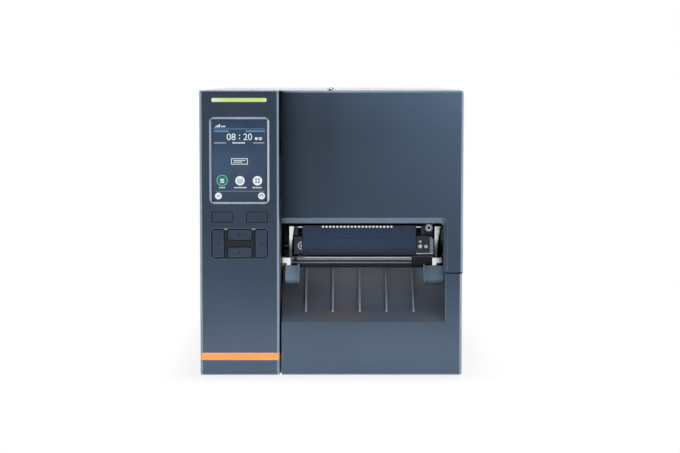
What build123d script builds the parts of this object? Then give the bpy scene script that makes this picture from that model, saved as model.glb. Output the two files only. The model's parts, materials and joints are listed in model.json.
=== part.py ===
from build123d import *
from math import atan2, cos, hypot, pi, radians, sin
import os

# Industrial label printer for four-inch labels, in millimetres.
# X runs to the right seen from the front, Y to the back, Z up.
# The origin is the middle of the footprint on the table.

# Case
wall = 2.5
foot_height = 4.0
knuckle_proud = 1.2
corner_radius = 3.0
edge_radius = 1.4
seam = 0.5
overrun = 5.0
small_clearance = 0.1
running_clearance = 0.05
base_floor = 4.0
base_rim_height = 14.0
base_rim_thickness = 3.0
rear_thickness = 4.0
rear_lip_length = 9.0
rear_lip_thickness = 2.0
centre_wall_thickness = 4.0
groove = 2.0

# Label roll that the bay is built round
roll_radius = 101.6
roll_floor_clearance = 20.4
roll_roof_clearance = 38.7
roll_back_clearance = 12.4
roll_front_clearance = 3.4

# Control column
display_width = 56.1
display_height = 81.4
display_side_margin = 9.45
display_corner = 5.0
ring_width = 2.6
ring_depth = 3.2
ring_proud = 0.4
ring_flange = 0.8
ring_flange_thickness = 1.0
glass_thickness = 1.2
glass_sink = 0.2
panel_thickness = 4.0
panel_border = 1.5
bezel_depth = 13.0
bezel_wall = 2.2
light_width = 51.4
light_height = 4.2
light_from_top = 6.9
light_left_margin = 11.7
light_proud = 0.3
light_depth = 5.0
light_flange = 1.2
display_below_light = 14.0
soft_key_width = 19.2
soft_key_height = 9.0
soft_key_inset = 2.2
soft_key_below_display = 8.0
soft_key_corner = 1.2
pad_below_soft_keys = 6.2
pad_side_step = 1.05
pad_height = 28.6
pad_corner = 4.0
pad_sink = 0.8
side_key_width = 10.9
side_key_height = 25.8
pad_key_gap = 3.6
middle_key_height = 9.4
pad_key_margin = 1.3
pad_key_corner = 2.0
key_clearance = 0.55
key_proud = 0.9
key_flange = 0.9
key_flange_thickness = 1.2
key_travel = 1.0
key_switch_gap = 0.2
board_thickness = 1.6
switch_height = 1.6
switch_size = 6.0
key_board_margin = 4.0
key_board_top_margin = 3.0
boss_radius = 3.0
band_height = 6.6
band_from_bottom = 14.5
band_thickness = 0.8
mark_depth = 0.3
mark_size = 1.6

# Throat, chute and lower panels
throat_depth = 58.0
media_plane_height = 108.0
split_below_media = 11.0
notch_above_media = 35.7
notch_bevel_height = 5.3
notch_bevel_side = 3.5
notch_bevel_depth = 5.4
notch_corner = 4.0
notch_frame = 3.0
notch_inset = 0.3
lower_inset = 0.8
lower_panel_depth = 12.0
chute_bottom_height = 50.8
chute_gap = 2.0
chute_thickness = 2.5
chute_side_step = 1.8
chute_wall = 2.0
rib_count = 5
rib_pitch = 25.5
rib_width = 1.9
rib_height = 2.0
rib_start = 13.0
rib_end_gap = 1.5
scallop_length = 90.0
scallop_depth = 9.0
scallop_set = 6.0

# Print unit, along X from the centre wall
print_unit_length = 155.0
plate_gap = 7.8
plate_thickness = 2.5
plate_flange_width = 4.6
plate_flange_foot = 2.0
plate_flange_height = 20.0
right_flange_width = 5.7
block_gap = 2.2
left_block_width = 7.6
cover_gap = 0.4
cover_width = 110.4
right_block_width = 13.1
right_block_step = 3.3
right_plate_gap = 1.2
lever_gap = 0.3
lever_thickness = 3.5
lever_clearance = 12.1

# Platen, tear bar and gears
platen_radius = 9.0
platen_setback = 14.0
platen_margin = 2.5
platen_core_radius = 6.5
shaft_radius = 4.0
bearing_radius = 8.0
bearing_flange = 1.5
bearing_flange_thickness = 1.2
tear_bar_height = 7.2
tear_bar_thickness = 2.0
tear_bar_overhang = 4.4
tear_bar_edge = 1.2
tear_groove_up = 1.4
tear_groove_height = 1.6
tear_groove_depth = 0.9
tear_support_height = 14.0
latch_height = 6.3
latch_stem = 5.0
latch_stem_width = 4.0
latch_depth = 1.8
left_latch_width = 8.0
right_latch_width = 9.5
guide_left_width = 12.0
guide_right_width = 17.0
guide_length = 24.0
guide_thickness = 2.2
guide_flange = 1.5
guide_lift = 0.3
guide_round_share = 0.42
gear_module = 1.25
platen_teeth = 28
idler_teeth = 36
pinion_teeth = 16
gear_width = 7.0
gear_stand_off = 2.0
gear_backlash = 0.16
gear_tip_share = 0.95
gear_root_share = 1.2
gear_tip_spread_share = 0.5
gear_root_spread_share = 1.45
gear_web = 2.6
gear_rim = 3.5
gear_hub_radius = 7.0
idler_axle_radius = 4.0
idler_angle = -62.0
motor_angle = -16.0
motor_size = 56.0
motor_length = 46.0
motor_corner = 5.0
motor_shaft_radius = 2.5
motor_shaft_depth = 9.0
motor_pilot_radius = 19.0
motor_pilot_height = 1.6
bracket_thickness = 2.0
bracket_margin = 4.0
post_radius = 3.5

# Print head
head_lift_gap = 0.35
block_bottom_gap = 1.6
block_height = 17.9
block_depth = 26.0
cover_height = 28.7
cover_bottom_gap = 0.7
cover_thickness = 1.8
cover_setback = 1.0
comb_count = 20
comb_pitch = 3.5
comb_slot = 2.3
comb_depth = 2.7
comb_offset = -2.0
comb_pocket_width = 1.5
comb_pocket_height = 2.2
comb_pocket_gap = 1.2
comb_pocket_depth = 0.8
emboss_height = 0.4
ribbon_bar_radius = 1.4
ribbon_bar_drop = 1.4
ribbon_bar_setback = 1.0
carriage_thickness = 2.5
carriage_arm = 3.5
pivot_setback = 80.0
pivot_height = 19.0
pivot_radius = 4.0
pivot_boss_radius = 8.0
head_depth = 26.0
head_height = 11.0
head_fin_count = 7
head_fin_thickness = 1.2
head_line_width = 3.0
head_line_height = 0.8
cam_setback = 48.0
cam_height = 3.5
cam_shaft_radius = 3.0
finger_length = 15.0
finger_radius = 2.5
lever_reach = 52.0
lever_tip_height = 30.7
lever_front_height = 15.7
lever_hub_radius = 7.5
lever_boss = 3.0
knob_radius = 3.7
knob_length = 6.0
knob_stem_radius = 1.5
knob_stem_length = 5.0
knob_flute_count = 12
knob_flute_radius = 0.5
knob_height = 27.3
knob_from_plate = 5.6
lug_thickness = 3.0
lug_width = 8.0

# Deck that carries the labels to the head
deck_drop = 3.0
deck_thickness = 3.0
deck_front_gap = 4.0
deck_length = 78.0
deck_beam_depth = 24.0
deck_beam_width = 30.0
deck_rib_count = 6
deck_rib_thickness = 2.5
sensor_width = 14.0
sensor_length = 9.0
sensor_height = 6.0
sensor_setback = 22.0
rail_radius = 2.5
rail_inset = 8.0
rail_drop = 6.0
media_guide_width = 8.0
media_guide_length = 40.0
media_guide_height = 10.0
damper_radius = 4.0
damper_gap = 14.0
damper_drop = 12.0
damper_pivot_setback = 96.0
damper_pin_radius = 3.0
damper_pivot_drop = 22.0
damper_arm = 3.0
damper_arm_radius = 6.0

# Ribbon and label spindles
supply_setback = 128.0
supply_height_share = 0.42
rewind_setback = 45.0
rewind_height_share = 0.52
spindle_core = 10.5
spindle_blade = 1.6
spindle_blade_width = 4.0
spindle_blade_count = 3
spindle_flange_radius = 18.0
spindle_flange_thickness = 3.0
spindle_wall_gap = 3.0
spindle_length = 132.0
spindle_tip = 4.0
brake_radius = 15.0
brake_length = 12.0
rewind_motor_radius = 18.0
rewind_motor_length = 50.0
rewind_plate_radius = 22.0
label_spindle_radius = 12.0
label_spindle_nose = 2.0
label_spindle_length = 158.0
label_spindle_flange = 24.0
label_spindle_flange_thickness = 4.0
guard_radius = 42.0
guard_thickness = 3.0
guard_hub_length = 16.0
guard_hub_wall = 3.0
guard_rest_gap = 22.0
guard_step_radius = 26.0
guard_step_height = 2.0

# Door hinge
hinge_radius = 2.2
hinge_pin_radius = 1.2
hinge_gap = 0.3
hinge_length = 62.0
hinge_leaf_width = 16.0
hinge_leaf_thickness = 1.5
hinge_knuckles = 5
hinge_knuckle_gap = 0.3
hinge_from_edge = 60.0
gutter_seat = 6.0
gutter_reach = 4.0
hinge_right_of_groove = 45.7
window_length = 236.0
window_height = 96.0
window_corner = 12.0
window_pane = 2.0
window_border = 4.0
door_flange = 6.0

# Electronics
supply_unit_length = 140.0
supply_board_gap = 1.9
supply_unit_height = 76.0
supply_unit_wall = 1.5
supply_unit_from_left = 6.0
supply_unit_from_back = 38.0
supply_slot_count = 9
supply_slot_width = 3.0
supply_slot_margin = 6.0
main_board_length = 200.0
main_board_height = 120.0
main_board_gap = 8.0
main_board_lift = 10.0
chip_size = 28.0
chip_height = 3.0
sink_height = 12.0
sink_fin_count = 6
socket_length = 22.0
socket_height = 7.0

# Rear connections
inlet_width = 31.0
inlet_height = 26.0
inlet_depth = 22.0
inlet_flange = 3.0
inlet_flange_thickness = 1.6
inlet_recess_width = 24.6
inlet_recess_height = 16.8
inlet_recess_depth = 16.0
inlet_recess_corner = 3.0
inlet_pin_width = 4.0
inlet_pin_thickness = 2.0
inlet_pin_length = 11.0
inlet_pin_pitch = 7.0
inlet_pin_drop = 4.0
inlet_height_up = 40.0
switch_width = 13.0
switch_tall = 19.2
switch_depth = 14.0
switch_gap_above = 26.0
switch_frame = 2.0
switch_frame_thickness = 1.5
rocker_angle = 10.0
rocker_set = 4.0
rocker_sink = 0.7
rocker_clearance = 0.3
rocker_pin_radius = 1.2
ports_up = 40.0
port_pitch = 26.0
port_from_wall = 12.0
port_depth = 15.0
port_wall = 1.2
lan_width = 16.0
lan_height = 13.6
usb_width = 12.2
usb_height = 11.0
serial_width = 31.0
serial_height = 12.6
host_width = 14.6
host_height = 7.2
tongue_thickness = 2.0
slot_width = 122.0
slot_height = 10.0
slot_up = 34.0
slot_from_wall = 20.0
vent_count = 10
vent_width = 3.0
vent_length = 34.0
vent_pitch = 6.0
vent_below_top = 34.0
louvre_count = 9
louvre_length = 70.0
louvre_height = 3.2
louvre_pitch = 8.5
louvre_depth = 4.0
louvre_wall = 1.0
louvre_from_back = 60.0
louvre_up = 60.0

# Feet and screws
foot_radius = 11.0
foot_taper = 1.0
foot_stem_radius = 3.0
foot_inset_x = 24.0
foot_inset_front = 66.0
foot_inset_back = 30.0
screw_radius = 3.0
screw_head_height = 1.6
screw_sink = 1.4
screw_shank_radius = 1.5
screw_slot = 1.0
screw_from_edge = 7.0

# Places that follow from the sizes
case_bottom = foot_height
bay_floor = case_bottom + base_floor
roll_diameter = 2 * roll_radius
case_top = bay_floor + roll_floor_clearance + roll_diameter + roll_roof_clearance + wall
media_plane = case_bottom + media_plane_height
split_line = media_plane - split_below_media
notch_top = media_plane + notch_above_media
column_width = display_width + 2 * display_side_margin
pad_width = display_width - 2 * pad_side_step
middle_key_width = pad_width - 2 * (pad_key_margin + side_key_width + pad_key_gap)
plate_to_plate = (block_gap + left_block_width + cover_gap + cover_width + cover_gap
                  + right_block_width + right_block_step + right_plate_gap)
bay_width = (plate_gap + plate_thickness + plate_to_plate + right_flange_width
             + lever_gap + lever_thickness + lever_clearance + wall)
width = column_width + bay_width
roll_depth = roll_front_clearance + roll_diameter + roll_back_clearance
depth = throat_depth + print_unit_length + roll_depth + rear_thickness
left = -width / 2
right = width / 2
front = -depth / 2
back = depth / 2
column_right = left + column_width
door_left = column_right + groove
bay_left = column_right
wall_left = bay_left - centre_wall_thickness
left_plate = bay_left + plate_gap
left_plate_in = left_plate + plate_thickness
left_block = left_plate_in + block_gap
cover_left = left_block + left_block_width + cover_gap
cover_right = cover_left + cover_width
right_block = cover_right + cover_gap
right_block_end = right_block + right_block_width
right_plate_in = right_block_end + right_block_step + right_plate_gap
right_plate = right_plate_in + plate_thickness
lever_left = right_plate_in + right_flange_width + lever_gap
lever_right = lever_left + lever_thickness
door_inner = right - wall
tear_y = front + throat_depth
platen_y = tear_y + platen_setback
platen_z = media_plane - platen_radius
pivot_y = tear_y + pivot_setback
pivot_z = media_plane + pivot_height
cam_y = tear_y + cam_setback
cam_z = media_plane + cam_height
bezel_back = front + bezel_depth
rear_inner = back - rear_thickness
roof_inner = case_top - wall
media_middle = (cover_left + cover_right) / 2
hinge_x = door_left + hinge_right_of_groove
hinge_z = case_top + knuckle_proud - hinge_radius
notch_right = lever_left - notch_inset
mechanism_top = media_plane + notch_above_media + wall
spindle_room = roof_inner - mechanism_top
rewind_y = tear_y + rewind_setback
rewind_z = mechanism_top + rewind_height_share * spindle_room
supply_y = tear_y + supply_setback
supply_z = mechanism_top + supply_height_share * spindle_room
roll_y = rear_inner - roll_back_clearance - roll_radius
roll_z = bay_floor + roll_floor_clearance + roll_radius
light_z = case_top - light_from_top - light_height / 2
display_x = left + display_side_margin + display_width / 2
display_top = light_z - light_height / 2 - display_below_light
display_z = display_top - display_height / 2
soft_key_z = display_top - display_height - soft_key_below_display - soft_key_height / 2
pad_z = soft_key_z - soft_key_height / 2 - pad_below_soft_keys - pad_height / 2


def block(x0, x1, y0, y1, z0, z1):
    """A box between two corners."""
    middle = Pos((x0 + x1) / 2, (y0 + y1) / 2, (z0 + z1) / 2)
    return middle * Box(x1 - x0, y1 - y0, z1 - z0)


def rod_x(x0, x1, y, z, radius):
    """A round bar along X."""
    return Pos((x0 + x1) / 2, y, z) * Rot(0, 90, 0) * Cylinder(radius, x1 - x0)


def rod_y(x, y0, y1, z, radius):
    """A round bar along Y."""
    return Pos(x, (y0 + y1) / 2, z) * Rot(90, 0, 0) * Cylinder(radius, y1 - y0)


def rod_z(x, y, z0, z1, radius):
    """A round bar along Z."""
    return Pos(x, y, (z0 + z1) / 2) * Cylinder(radius, z1 - z0)


def rounded(x, z, wide, tall, corner, y0, y1):
    """A panel with rounded corners that faces the front, between two depths."""
    plane = Plane.XZ.offset(-y0) * Pos(x, z)
    return extrude(plane * RectangleRounded(wide, tall, corner), amount=y0 - y1)


def side_profile(points, x0, x1, radius=0):
    """An outline in Y and Z, drawn out along X."""
    face = make_face(Polyline(*points, close=True))
    if radius:
        face = fillet(face.vertices(), radius)
    return extrude(Plane.YZ.offset(x0) * face, amount=x1 - x0)


def front_profile(points, y0, y1, radius=0):
    """An outline in X and Z, drawn out along Y."""
    face = make_face(Polyline(*points, close=True))
    if radius:
        face = fillet(face.vertices(), radius)
    return extrude(Plane.XZ.offset(-y0) * face, amount=y0 - y1)


def joined(pieces):
    """Several solids fused into one."""
    result = pieces[0]
    for piece in pieces[1:]:
        result = result + piece
    return result


def group(pieces):
    """Several separate solids in one node."""
    solids = []
    for piece in pieces:
        solids.extend(piece.solids())
    return Compound(solids)


def save(node, shape):
    """Write one node."""
    export_step(shape, f"parts/{node}.step")


# Control column

def column_outline(inset):
    """The column's plan: square at the back, rounded at its two front corners."""
    points = [(left + inset, bezel_back), (left + inset, front + inset),
              (column_right - inset, front + inset), (column_right - inset, bezel_back)]
    face = make_face(Polyline(*points, close=True))
    corners = face.vertices().filter_by_position(Axis.Y, front + inset, front + inset)
    return fillet(corners, corner_radius - inset)


def key_places():
    """Each key: its node, middle, size and corner radius."""
    inner_left = display_x - display_width / 2 + soft_key_inset
    inner_right = display_x + display_width / 2 - soft_key_inset
    half_soft = soft_key_width / 2
    side_x = pad_width / 2 - pad_key_margin - side_key_width / 2
    middle_z = pad_height / 2 - pad_key_margin - middle_key_height / 2
    soft = (soft_key_width, soft_key_height, soft_key_corner)
    side = (side_key_width, side_key_height, pad_key_corner)
    middle = (middle_key_width, middle_key_height, pad_key_corner)
    return {
        "soft_key_left": (inner_left + half_soft, soft_key_z) + soft,
        "soft_key_right": (inner_right - half_soft, soft_key_z) + soft,
        "key_left": (display_x - side_x, pad_z) + side,
        "key_right": (display_x + side_x, pad_z) + side,
        "key_up": (display_x, pad_z + middle_z) + middle,
        "key_down": (display_x, pad_z - middle_z) + middle,
    }


def make_control_bezel():
    outer = extrude(column_outline(0), amount=case_top - case_bottom)
    outer = Pos(0, 0, case_bottom) * outer
    rims = outer.edges().filter_by_position(Axis.Z, case_top, case_top)
    rims += outer.edges().filter_by_position(Axis.Z, case_bottom, case_bottom)
    rims = rims.filter_by(lambda edge: edge.center().Y < bezel_back - small_clearance)
    rims = rims.filter_by(lambda edge: edge.center().Y < front + corner_radius)
    outer = fillet(rims, edge_radius)
    hollow = block(left + bezel_wall, column_right - bezel_wall, front + bezel_wall, bezel_back + overrun,
                   case_bottom + bezel_wall, case_top - bezel_wall)
    bezel = outer - hollow
    bezel -= rounded(left + light_left_margin + light_width / 2, light_z,
                     light_width + 2 * small_clearance, light_height + 2 * small_clearance,
                     light_height / 2, front - overrun, front + bezel_wall + overrun)
    bezel -= rounded(display_x, display_z, display_width + 2 * small_clearance,
                     display_height + 2 * small_clearance, display_corner,
                     front - overrun, front + bezel_wall + overrun)
    bezel -= rounded(display_x, pad_z, pad_width, pad_height, pad_corner,
                     front - overrun, front + pad_sink)
    for x, z, wide, tall, corner in key_places().values():
        bezel -= rounded(x, z, wide + 2 * key_clearance, tall + 2 * key_clearance,
                         corner + key_clearance, front - overrun, front + bezel_wall + overrun)
    band_low = case_bottom + band_from_bottom
    channel = extrude(column_outline(-overrun), amount=band_height) - band_core(band_height)
    bezel -= Pos(0, 0, band_low) * channel
    for x, z in board_corners():
        post = rod_y(x, front + bezel_wall - small_clearance, board_front(), z, boss_radius)
        bezel += post - rod_y(x, front + bezel_wall + overrun / 2, board_front() + overrun, z,
                              screw_shank_radius)
    return bezel


def band_core(tall):
    """What is left of the column's plan inside the band."""
    plan = column_outline(band_thickness)
    back_part = make_face(Polyline((left + band_thickness, bezel_back - wall),
                                   (left + band_thickness, bezel_back + overrun),
                                   (column_right - band_thickness, bezel_back + overrun),
                                   (column_right - band_thickness, bezel_back - wall), close=True))
    return extrude(plan + back_part, amount=tall)


def make_accent_band():
    band = extrude(column_outline(0), amount=band_height) - band_core(band_height)
    return Pos(0, 0, case_bottom + band_from_bottom) * band


def board_front():
    """Depth of the key board's front face, just behind the keys' travel."""
    shank = front + bezel_wall + small_clearance + key_flange_thickness
    return shank + key_travel + key_switch_gap + switch_height


def board_bounds():
    """The key board's left, right, bottom and top."""
    half = pad_width / 2
    low = pad_z - pad_height / 2 - key_board_margin
    high = soft_key_z + soft_key_height / 2 + key_board_top_margin
    return display_x - half, display_x + half, low, high


def board_corners():
    """The key board's three screws: two below the pad and one between pad and soft keys."""
    x0, x1, z0, _ = board_bounds()
    inset = boss_radius - small_clearance
    middle = (soft_key_z - soft_key_height / 2 + pad_z + pad_height / 2) / 2
    return [(x0 + inset, z0 - inset), (x1 - inset, z0 - inset), (display_x, middle)]


def make_keypad_board():
    x0, x1, z0, z1 = board_bounds()
    y = board_front()
    board = block(x0, x1, y, y + board_thickness, z0 - 2 * boss_radius, z1)
    for x, z in board_corners():
        board -= rod_y(x, y - overrun, y + overrun, z, screw_shank_radius)
    half = switch_size / 2
    for x, z, *_ in key_places().values():
        board += block(x - half, x + half, y - switch_height, y, z - half, z + half)
    return board


def make_key(x, z, wide, tall, corner, mark_angle):
    """A key cap with its flange behind the bezel, its shank and, on the pad, a sunk arrow."""
    flange_front = front + bezel_wall + small_clearance
    key = rounded(x, z, wide, tall, corner, front - key_proud, flange_front)
    face = key.faces().sort_by(Axis.Y)[0]
    key = chamfer(face.edges(), key_proud - small_clearance)
    key += rounded(x, z, wide + 2 * key_flange, tall + 2 * key_flange, corner + key_flange,
                   flange_front, flange_front + key_flange_thickness)
    if mark_angle is not None:
        arrow = Rot(0, 0, mark_angle) * RegularPolygon(mark_size, 3)
        cut = Plane.XZ.offset(key_proud - front) * Pos(x, z) * arrow
        key -= extrude(cut, amount=-mark_depth)
    return key


def make_status_light():
    x = left + light_left_margin + light_width / 2
    bar = rounded(x, light_z, light_width, light_height, light_height / 2 - small_clearance,
                  front - light_proud, front + light_depth)
    flange = rounded(x, light_z, light_width + 2 * light_flange, light_height + 2 * light_flange,
                     light_height / 2, front + bezel_wall, front + bezel_wall + light_flange)
    return bar + flange


def make_display_frame():
    inside = (display_width - 2 * ring_width, display_height - 2 * ring_width)
    ring = rounded(display_x, display_z, display_width, display_height, display_corner,
                   front - ring_proud, front + ring_depth)
    ring = chamfer(ring.faces().sort_by(Axis.Y)[0].edges(), ring_proud - small_clearance)
    y0 = front + bezel_wall
    ring += rounded(display_x, display_z, display_width + 2 * ring_flange,
                    display_height + 2 * ring_flange, display_corner + ring_flange,
                    y0, y0 + ring_flange_thickness)
    ring -= rounded(display_x, display_z, inside[0], inside[1], display_corner - ring_width,
                    front - overrun, front + ring_depth + overrun)
    return ring


def make_display_glass():
    y0 = front - ring_proud + glass_sink
    trim = 2 * ring_width + 2 * small_clearance
    return rounded(display_x, display_z, display_width - trim, display_height - trim,
                   display_corner - ring_width, y0, y0 + glass_thickness)


def make_display_panel():
    """The display's metal tray behind the glass, with its edge against the ring."""
    y0 = front - ring_proud + glass_sink + glass_thickness
    trim = 2 * ring_width + 2 * small_clearance
    core = rounded(display_x, display_z, display_width - trim, display_height - trim,
                   display_corner - ring_width, y0, front + ring_depth)
    y1 = front + ring_depth
    tray = rounded(display_x, display_z, display_width - 2 * panel_border,
                   display_height - 2 * panel_border, display_corner, y1, y1 + panel_thickness)
    return core + tray


# Case

def make_base_tray():
    x0 = left + wall + small_clearance
    x1 = right - lower_inset - wall - small_clearance
    y0 = max(bezel_back, front + lower_inset + lower_panel_depth) + small_clearance
    y1 = rear_inner - rear_lip_length - small_clearance
    tray = block(x0, x1, y0, rear_inner, case_bottom, bay_floor)
    rim_top = bay_floor + base_rim_height
    rim = block(x0, x1, y0, y1, bay_floor, rim_top)
    inside = base_rim_thickness
    rim -= block(x0 + inside, x1 - inside, y0 + inside, y1 - inside, case_bottom, rim_top + overrun)
    rim -= block(wall_left, bay_left, y0 - overrun, y1 + overrun, bay_floor, rim_top + overrun)
    tray += rim
    unit_left, unit_right, unit_front, *_ = supply_unit_bounds()
    inset = (unit_right - unit_left) / 6
    for index in range(supply_slot_count):
        y = unit_front + (index + 1) * supply_unit_length / (supply_slot_count + 1)
        tray -= block(unit_left + inset, unit_right - inset,
                      y - supply_slot_width / 2, y + supply_slot_width / 2,
                      case_bottom - overrun, bay_floor + overrun)
    for x, y in foot_places():
        tray -= rod_z(x, y, case_bottom - overrun, bay_floor + overrun,
                      foot_stem_radius + small_clearance)
    return tray


def foot_places():
    xs = (left + foot_inset_x, right - foot_inset_x)
    ys = (front + foot_inset_front, back - foot_inset_back)
    return [(x, y) for x in xs for y in ys]


def make_feet():
    feet = []
    for x, y in foot_places():
        pad = Pos(x, y, foot_height / 2) * Cone(foot_radius - foot_taper, foot_radius, foot_height)
        stem = rod_z(x, y, foot_height, bay_floor + foot_taper, foot_stem_radius)
        head = rod_z(x, y, bay_floor, bay_floor + foot_taper, foot_stem_radius + foot_taper)
        feet.append(pad + stem + head)
    return group(feet)


def make_centre_wall():
    y0 = bezel_back + small_clearance
    y1 = rear_inner - small_clearance
    z0 = bay_floor
    wall_plate = block(wall_left, bay_left, y0, y1, z0, roof_inner)
    lip_z = roof_inner - base_rim_thickness
    wall_plate += block(wall_left - overrun, bay_left, y0, y1, lip_z, roof_inner)
    bores = [(platen_y, platen_z, bearing_radius), (rewind_y, rewind_z, bearing_radius),
             (supply_y, supply_z, bearing_radius)]
    for y, z, radius in bores:
        wall_plate += rod_x(wall_left, bay_left, y, z, radius + bearing_flange)
        wall_plate -= rod_x(wall_left - overrun, bay_left + overrun, y, z, radius)
    idler_y, idler_z = idler_place()
    wall_plate -= rod_x(wall_left - overrun, bay_left + overrun, idler_y, idler_z, idler_axle_radius)
    return wall_plate


def idler_place():
    reach = gear_module * (platen_teeth + idler_teeth) / 2
    angle = radians(idler_angle)
    return platen_y + reach * cos(angle), platen_z + reach * sin(angle)


def motor_place():
    y, z = idler_place()
    reach = gear_module * (idler_teeth + pinion_teeth) / 2
    angle = radians(motor_angle)
    return y + reach * cos(angle), z + reach * sin(angle)


def make_left_cover():
    """Left side and fixed part of the roof, one shell with louvres pressed into it."""
    y0 = bezel_back
    y1 = rear_inner - seam
    fixed_edge = hinge_x - hinge_radius - hinge_gap
    outer = [(left, case_bottom), (left, case_top), (fixed_edge, case_top), (fixed_edge, roof_inner),
             (left + wall, roof_inner), (left + wall, case_bottom)]
    face = make_face(Polyline(*outer, close=True))
    outer_corner = face.vertices().sort_by(lambda v: v.X - v.Y)[0]
    face = fillet(outer_corner, corner_radius)
    shell = extrude(Plane.XZ.offset(-y0) * face, amount=y0 - y1)
    nose_front = front + wall + seam
    shell += block(door_left, fixed_edge, nose_front, y0, roof_inner, case_top)
    for a, b in gutter_bands():
        shell += block(fixed_edge - gutter_seat, hinge_x + hinge_radius + gutter_reach, a, b,
                       roof_inner - hinge_leaf_thickness, roof_inner - small_clearance)
        shell += block(fixed_edge - gutter_seat, fixed_edge, a, b, roof_inner - small_clearance, roof_inner)
    length = louvre_length
    y_mid = rear_inner - louvre_from_back - length / 2
    for index in range(louvre_count):
        z = case_bottom + louvre_up + index * louvre_pitch
        shell -= block(left - overrun, left + wall + overrun, y_mid - length / 2, y_mid + length / 2,
                       z, z + louvre_height)
        hood_in = left + wall + louvre_depth
        hood = side_louvre(y_mid, length, z, hood_in)
        shell += hood
    return shell


def gutter_bands():
    """The stretches of the roof's gap that no hinge covers."""
    first, last = hinge_bands()
    start = front + wall + seam
    end = rear_inner - seam
    return [(start, first - hinge_gap - edge_radius),
            (first + hinge_length + hinge_gap, last - hinge_gap - edge_radius),
            (last + hinge_length + hinge_gap, end)]


def side_louvre(y_mid, length, z, hood_in):
    """A hood on the inside of one louvre, open at its lower edge."""
    outside = [(left + wall, z + louvre_height + louvre_wall), (left + wall, z + louvre_height),
               (hood_in, z - louvre_wall), (hood_in, z)]
    return front_profile(outside, y_mid - length / 2, y_mid + length / 2)


def make_lower_side_panel():
    x1 = right - lower_inset
    x0 = x1 - wall
    y0 = front + lower_inset + lower_panel_depth
    panel = block(x0, x1, y0, rear_inner - seam, case_bottom, split_line - seam)
    ledge_low = split_line - seam - wall
    panel += block(x1 - scallop_depth - wall, x1, y0, rear_inner - seam - rear_lip_length, ledge_low,
                   split_line - seam)
    middle = (y0 + rear_inner) / 2
    grip_low = split_line - seam - scallop_depth - wall
    pocket = block(x1 - scallop_depth - wall, x1, middle - scallop_length / 2 - wall,
                   middle + scallop_length / 2 + wall, grip_low, split_line - seam)
    panel += pocket
    cut = side_profile([(middle - scallop_length / 2, split_line + overrun),
                        (middle - scallop_length / 2, grip_low + wall),
                        (middle + scallop_length / 2, grip_low + wall),
                        (middle + scallop_length / 2, split_line + overrun)],
                       x1 - scallop_depth, x1 + overrun, scallop_set / 2)
    return panel - cut


def chute_plane():
    """The chute's surface: origin at its lower front edge, local Y up the slope."""
    origin = (media_middle, front + lower_inset, case_bottom + chute_bottom_height)
    rise = split_line - origin[2]
    run = tear_y - chute_gap - origin[1]
    angle = atan2(rise, run)
    plane = Plane(origin=origin, x_dir=(1, 0, 0), z_dir=(0, -sin(angle), cos(angle)))
    return plane, hypot(rise, run), angle


def make_lower_front_panel():
    """Lower front with the label chute, its five ribs and its right wall, open at the back."""
    y0 = front + lower_inset
    y1 = y0 + lower_panel_depth
    x0 = door_left
    x1 = right - lower_inset
    top = split_line - seam
    plan = make_face(Polyline((x0, y1), (x0, y0), (x1, y0), (x1, y1), close=True))
    corner = plan.vertices().sort_by(lambda v: v.Y - v.X)[0]
    plan = fillet(corner, corner_radius)
    shell = Pos(0, 0, case_bottom) * extrude(plan, amount=top - case_bottom)
    bottom_edges = shell.edges().filter_by_position(Axis.Z, case_bottom, case_bottom)
    shell = fillet(bottom_edges.filter_by(lambda e: e.center().Y < y0 + corner_radius
                                          and e.center().X > x0 + seam), edge_radius)
    shell -= block(x0 + wall, x1 - wall, y0 + wall, y1 + overrun, case_bottom + wall, top - wall)
    plane, length, angle = chute_plane()
    z_low = case_bottom + chute_bottom_height
    side = notch_right + chute_side_step
    y_top = tear_y - chute_gap
    side_wall = side_profile([(y0, z_low - wall), (y0, top), (y_top, top), (y_top, top - wall),
                              (y0 + wall, z_low - wall)], side, side + chute_wall)
    cut = side_profile([(y0 - overrun, z_low), (y0, z_low), (y_top, split_line),
                        (y_top + overrun, split_line), (y_top + overrun, top + 2 * overrun),
                        (y0 - overrun, top + 2 * overrun)], x0 - overrun, side)
    under = split_line - chute_thickness / cos(angle)
    slope = side_profile([(y0, z_low), (y_top, split_line), (y_top, under),
                          (y0 + wall, z_low - wall), (y0, z_low - wall)], x0, side)
    shell = shell - cut + side_wall + slope
    local = plane * Pos(0, (rib_start + length - rib_end_gap) / 2, 0)
    for index in range(rib_count):
        x = (index - (rib_count - 1) / 2) * rib_pitch
        rib_length = length - rib_end_gap - rib_start
        rib = Pos(x, 0, 0) * Box(rib_width, rib_length, 2 * rib_height)
        crest = rib.edges().group_by(Axis.Z)[-1]
        rib = fillet(crest, rib_width / 3)
        shell += local * rib
    return shell


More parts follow.
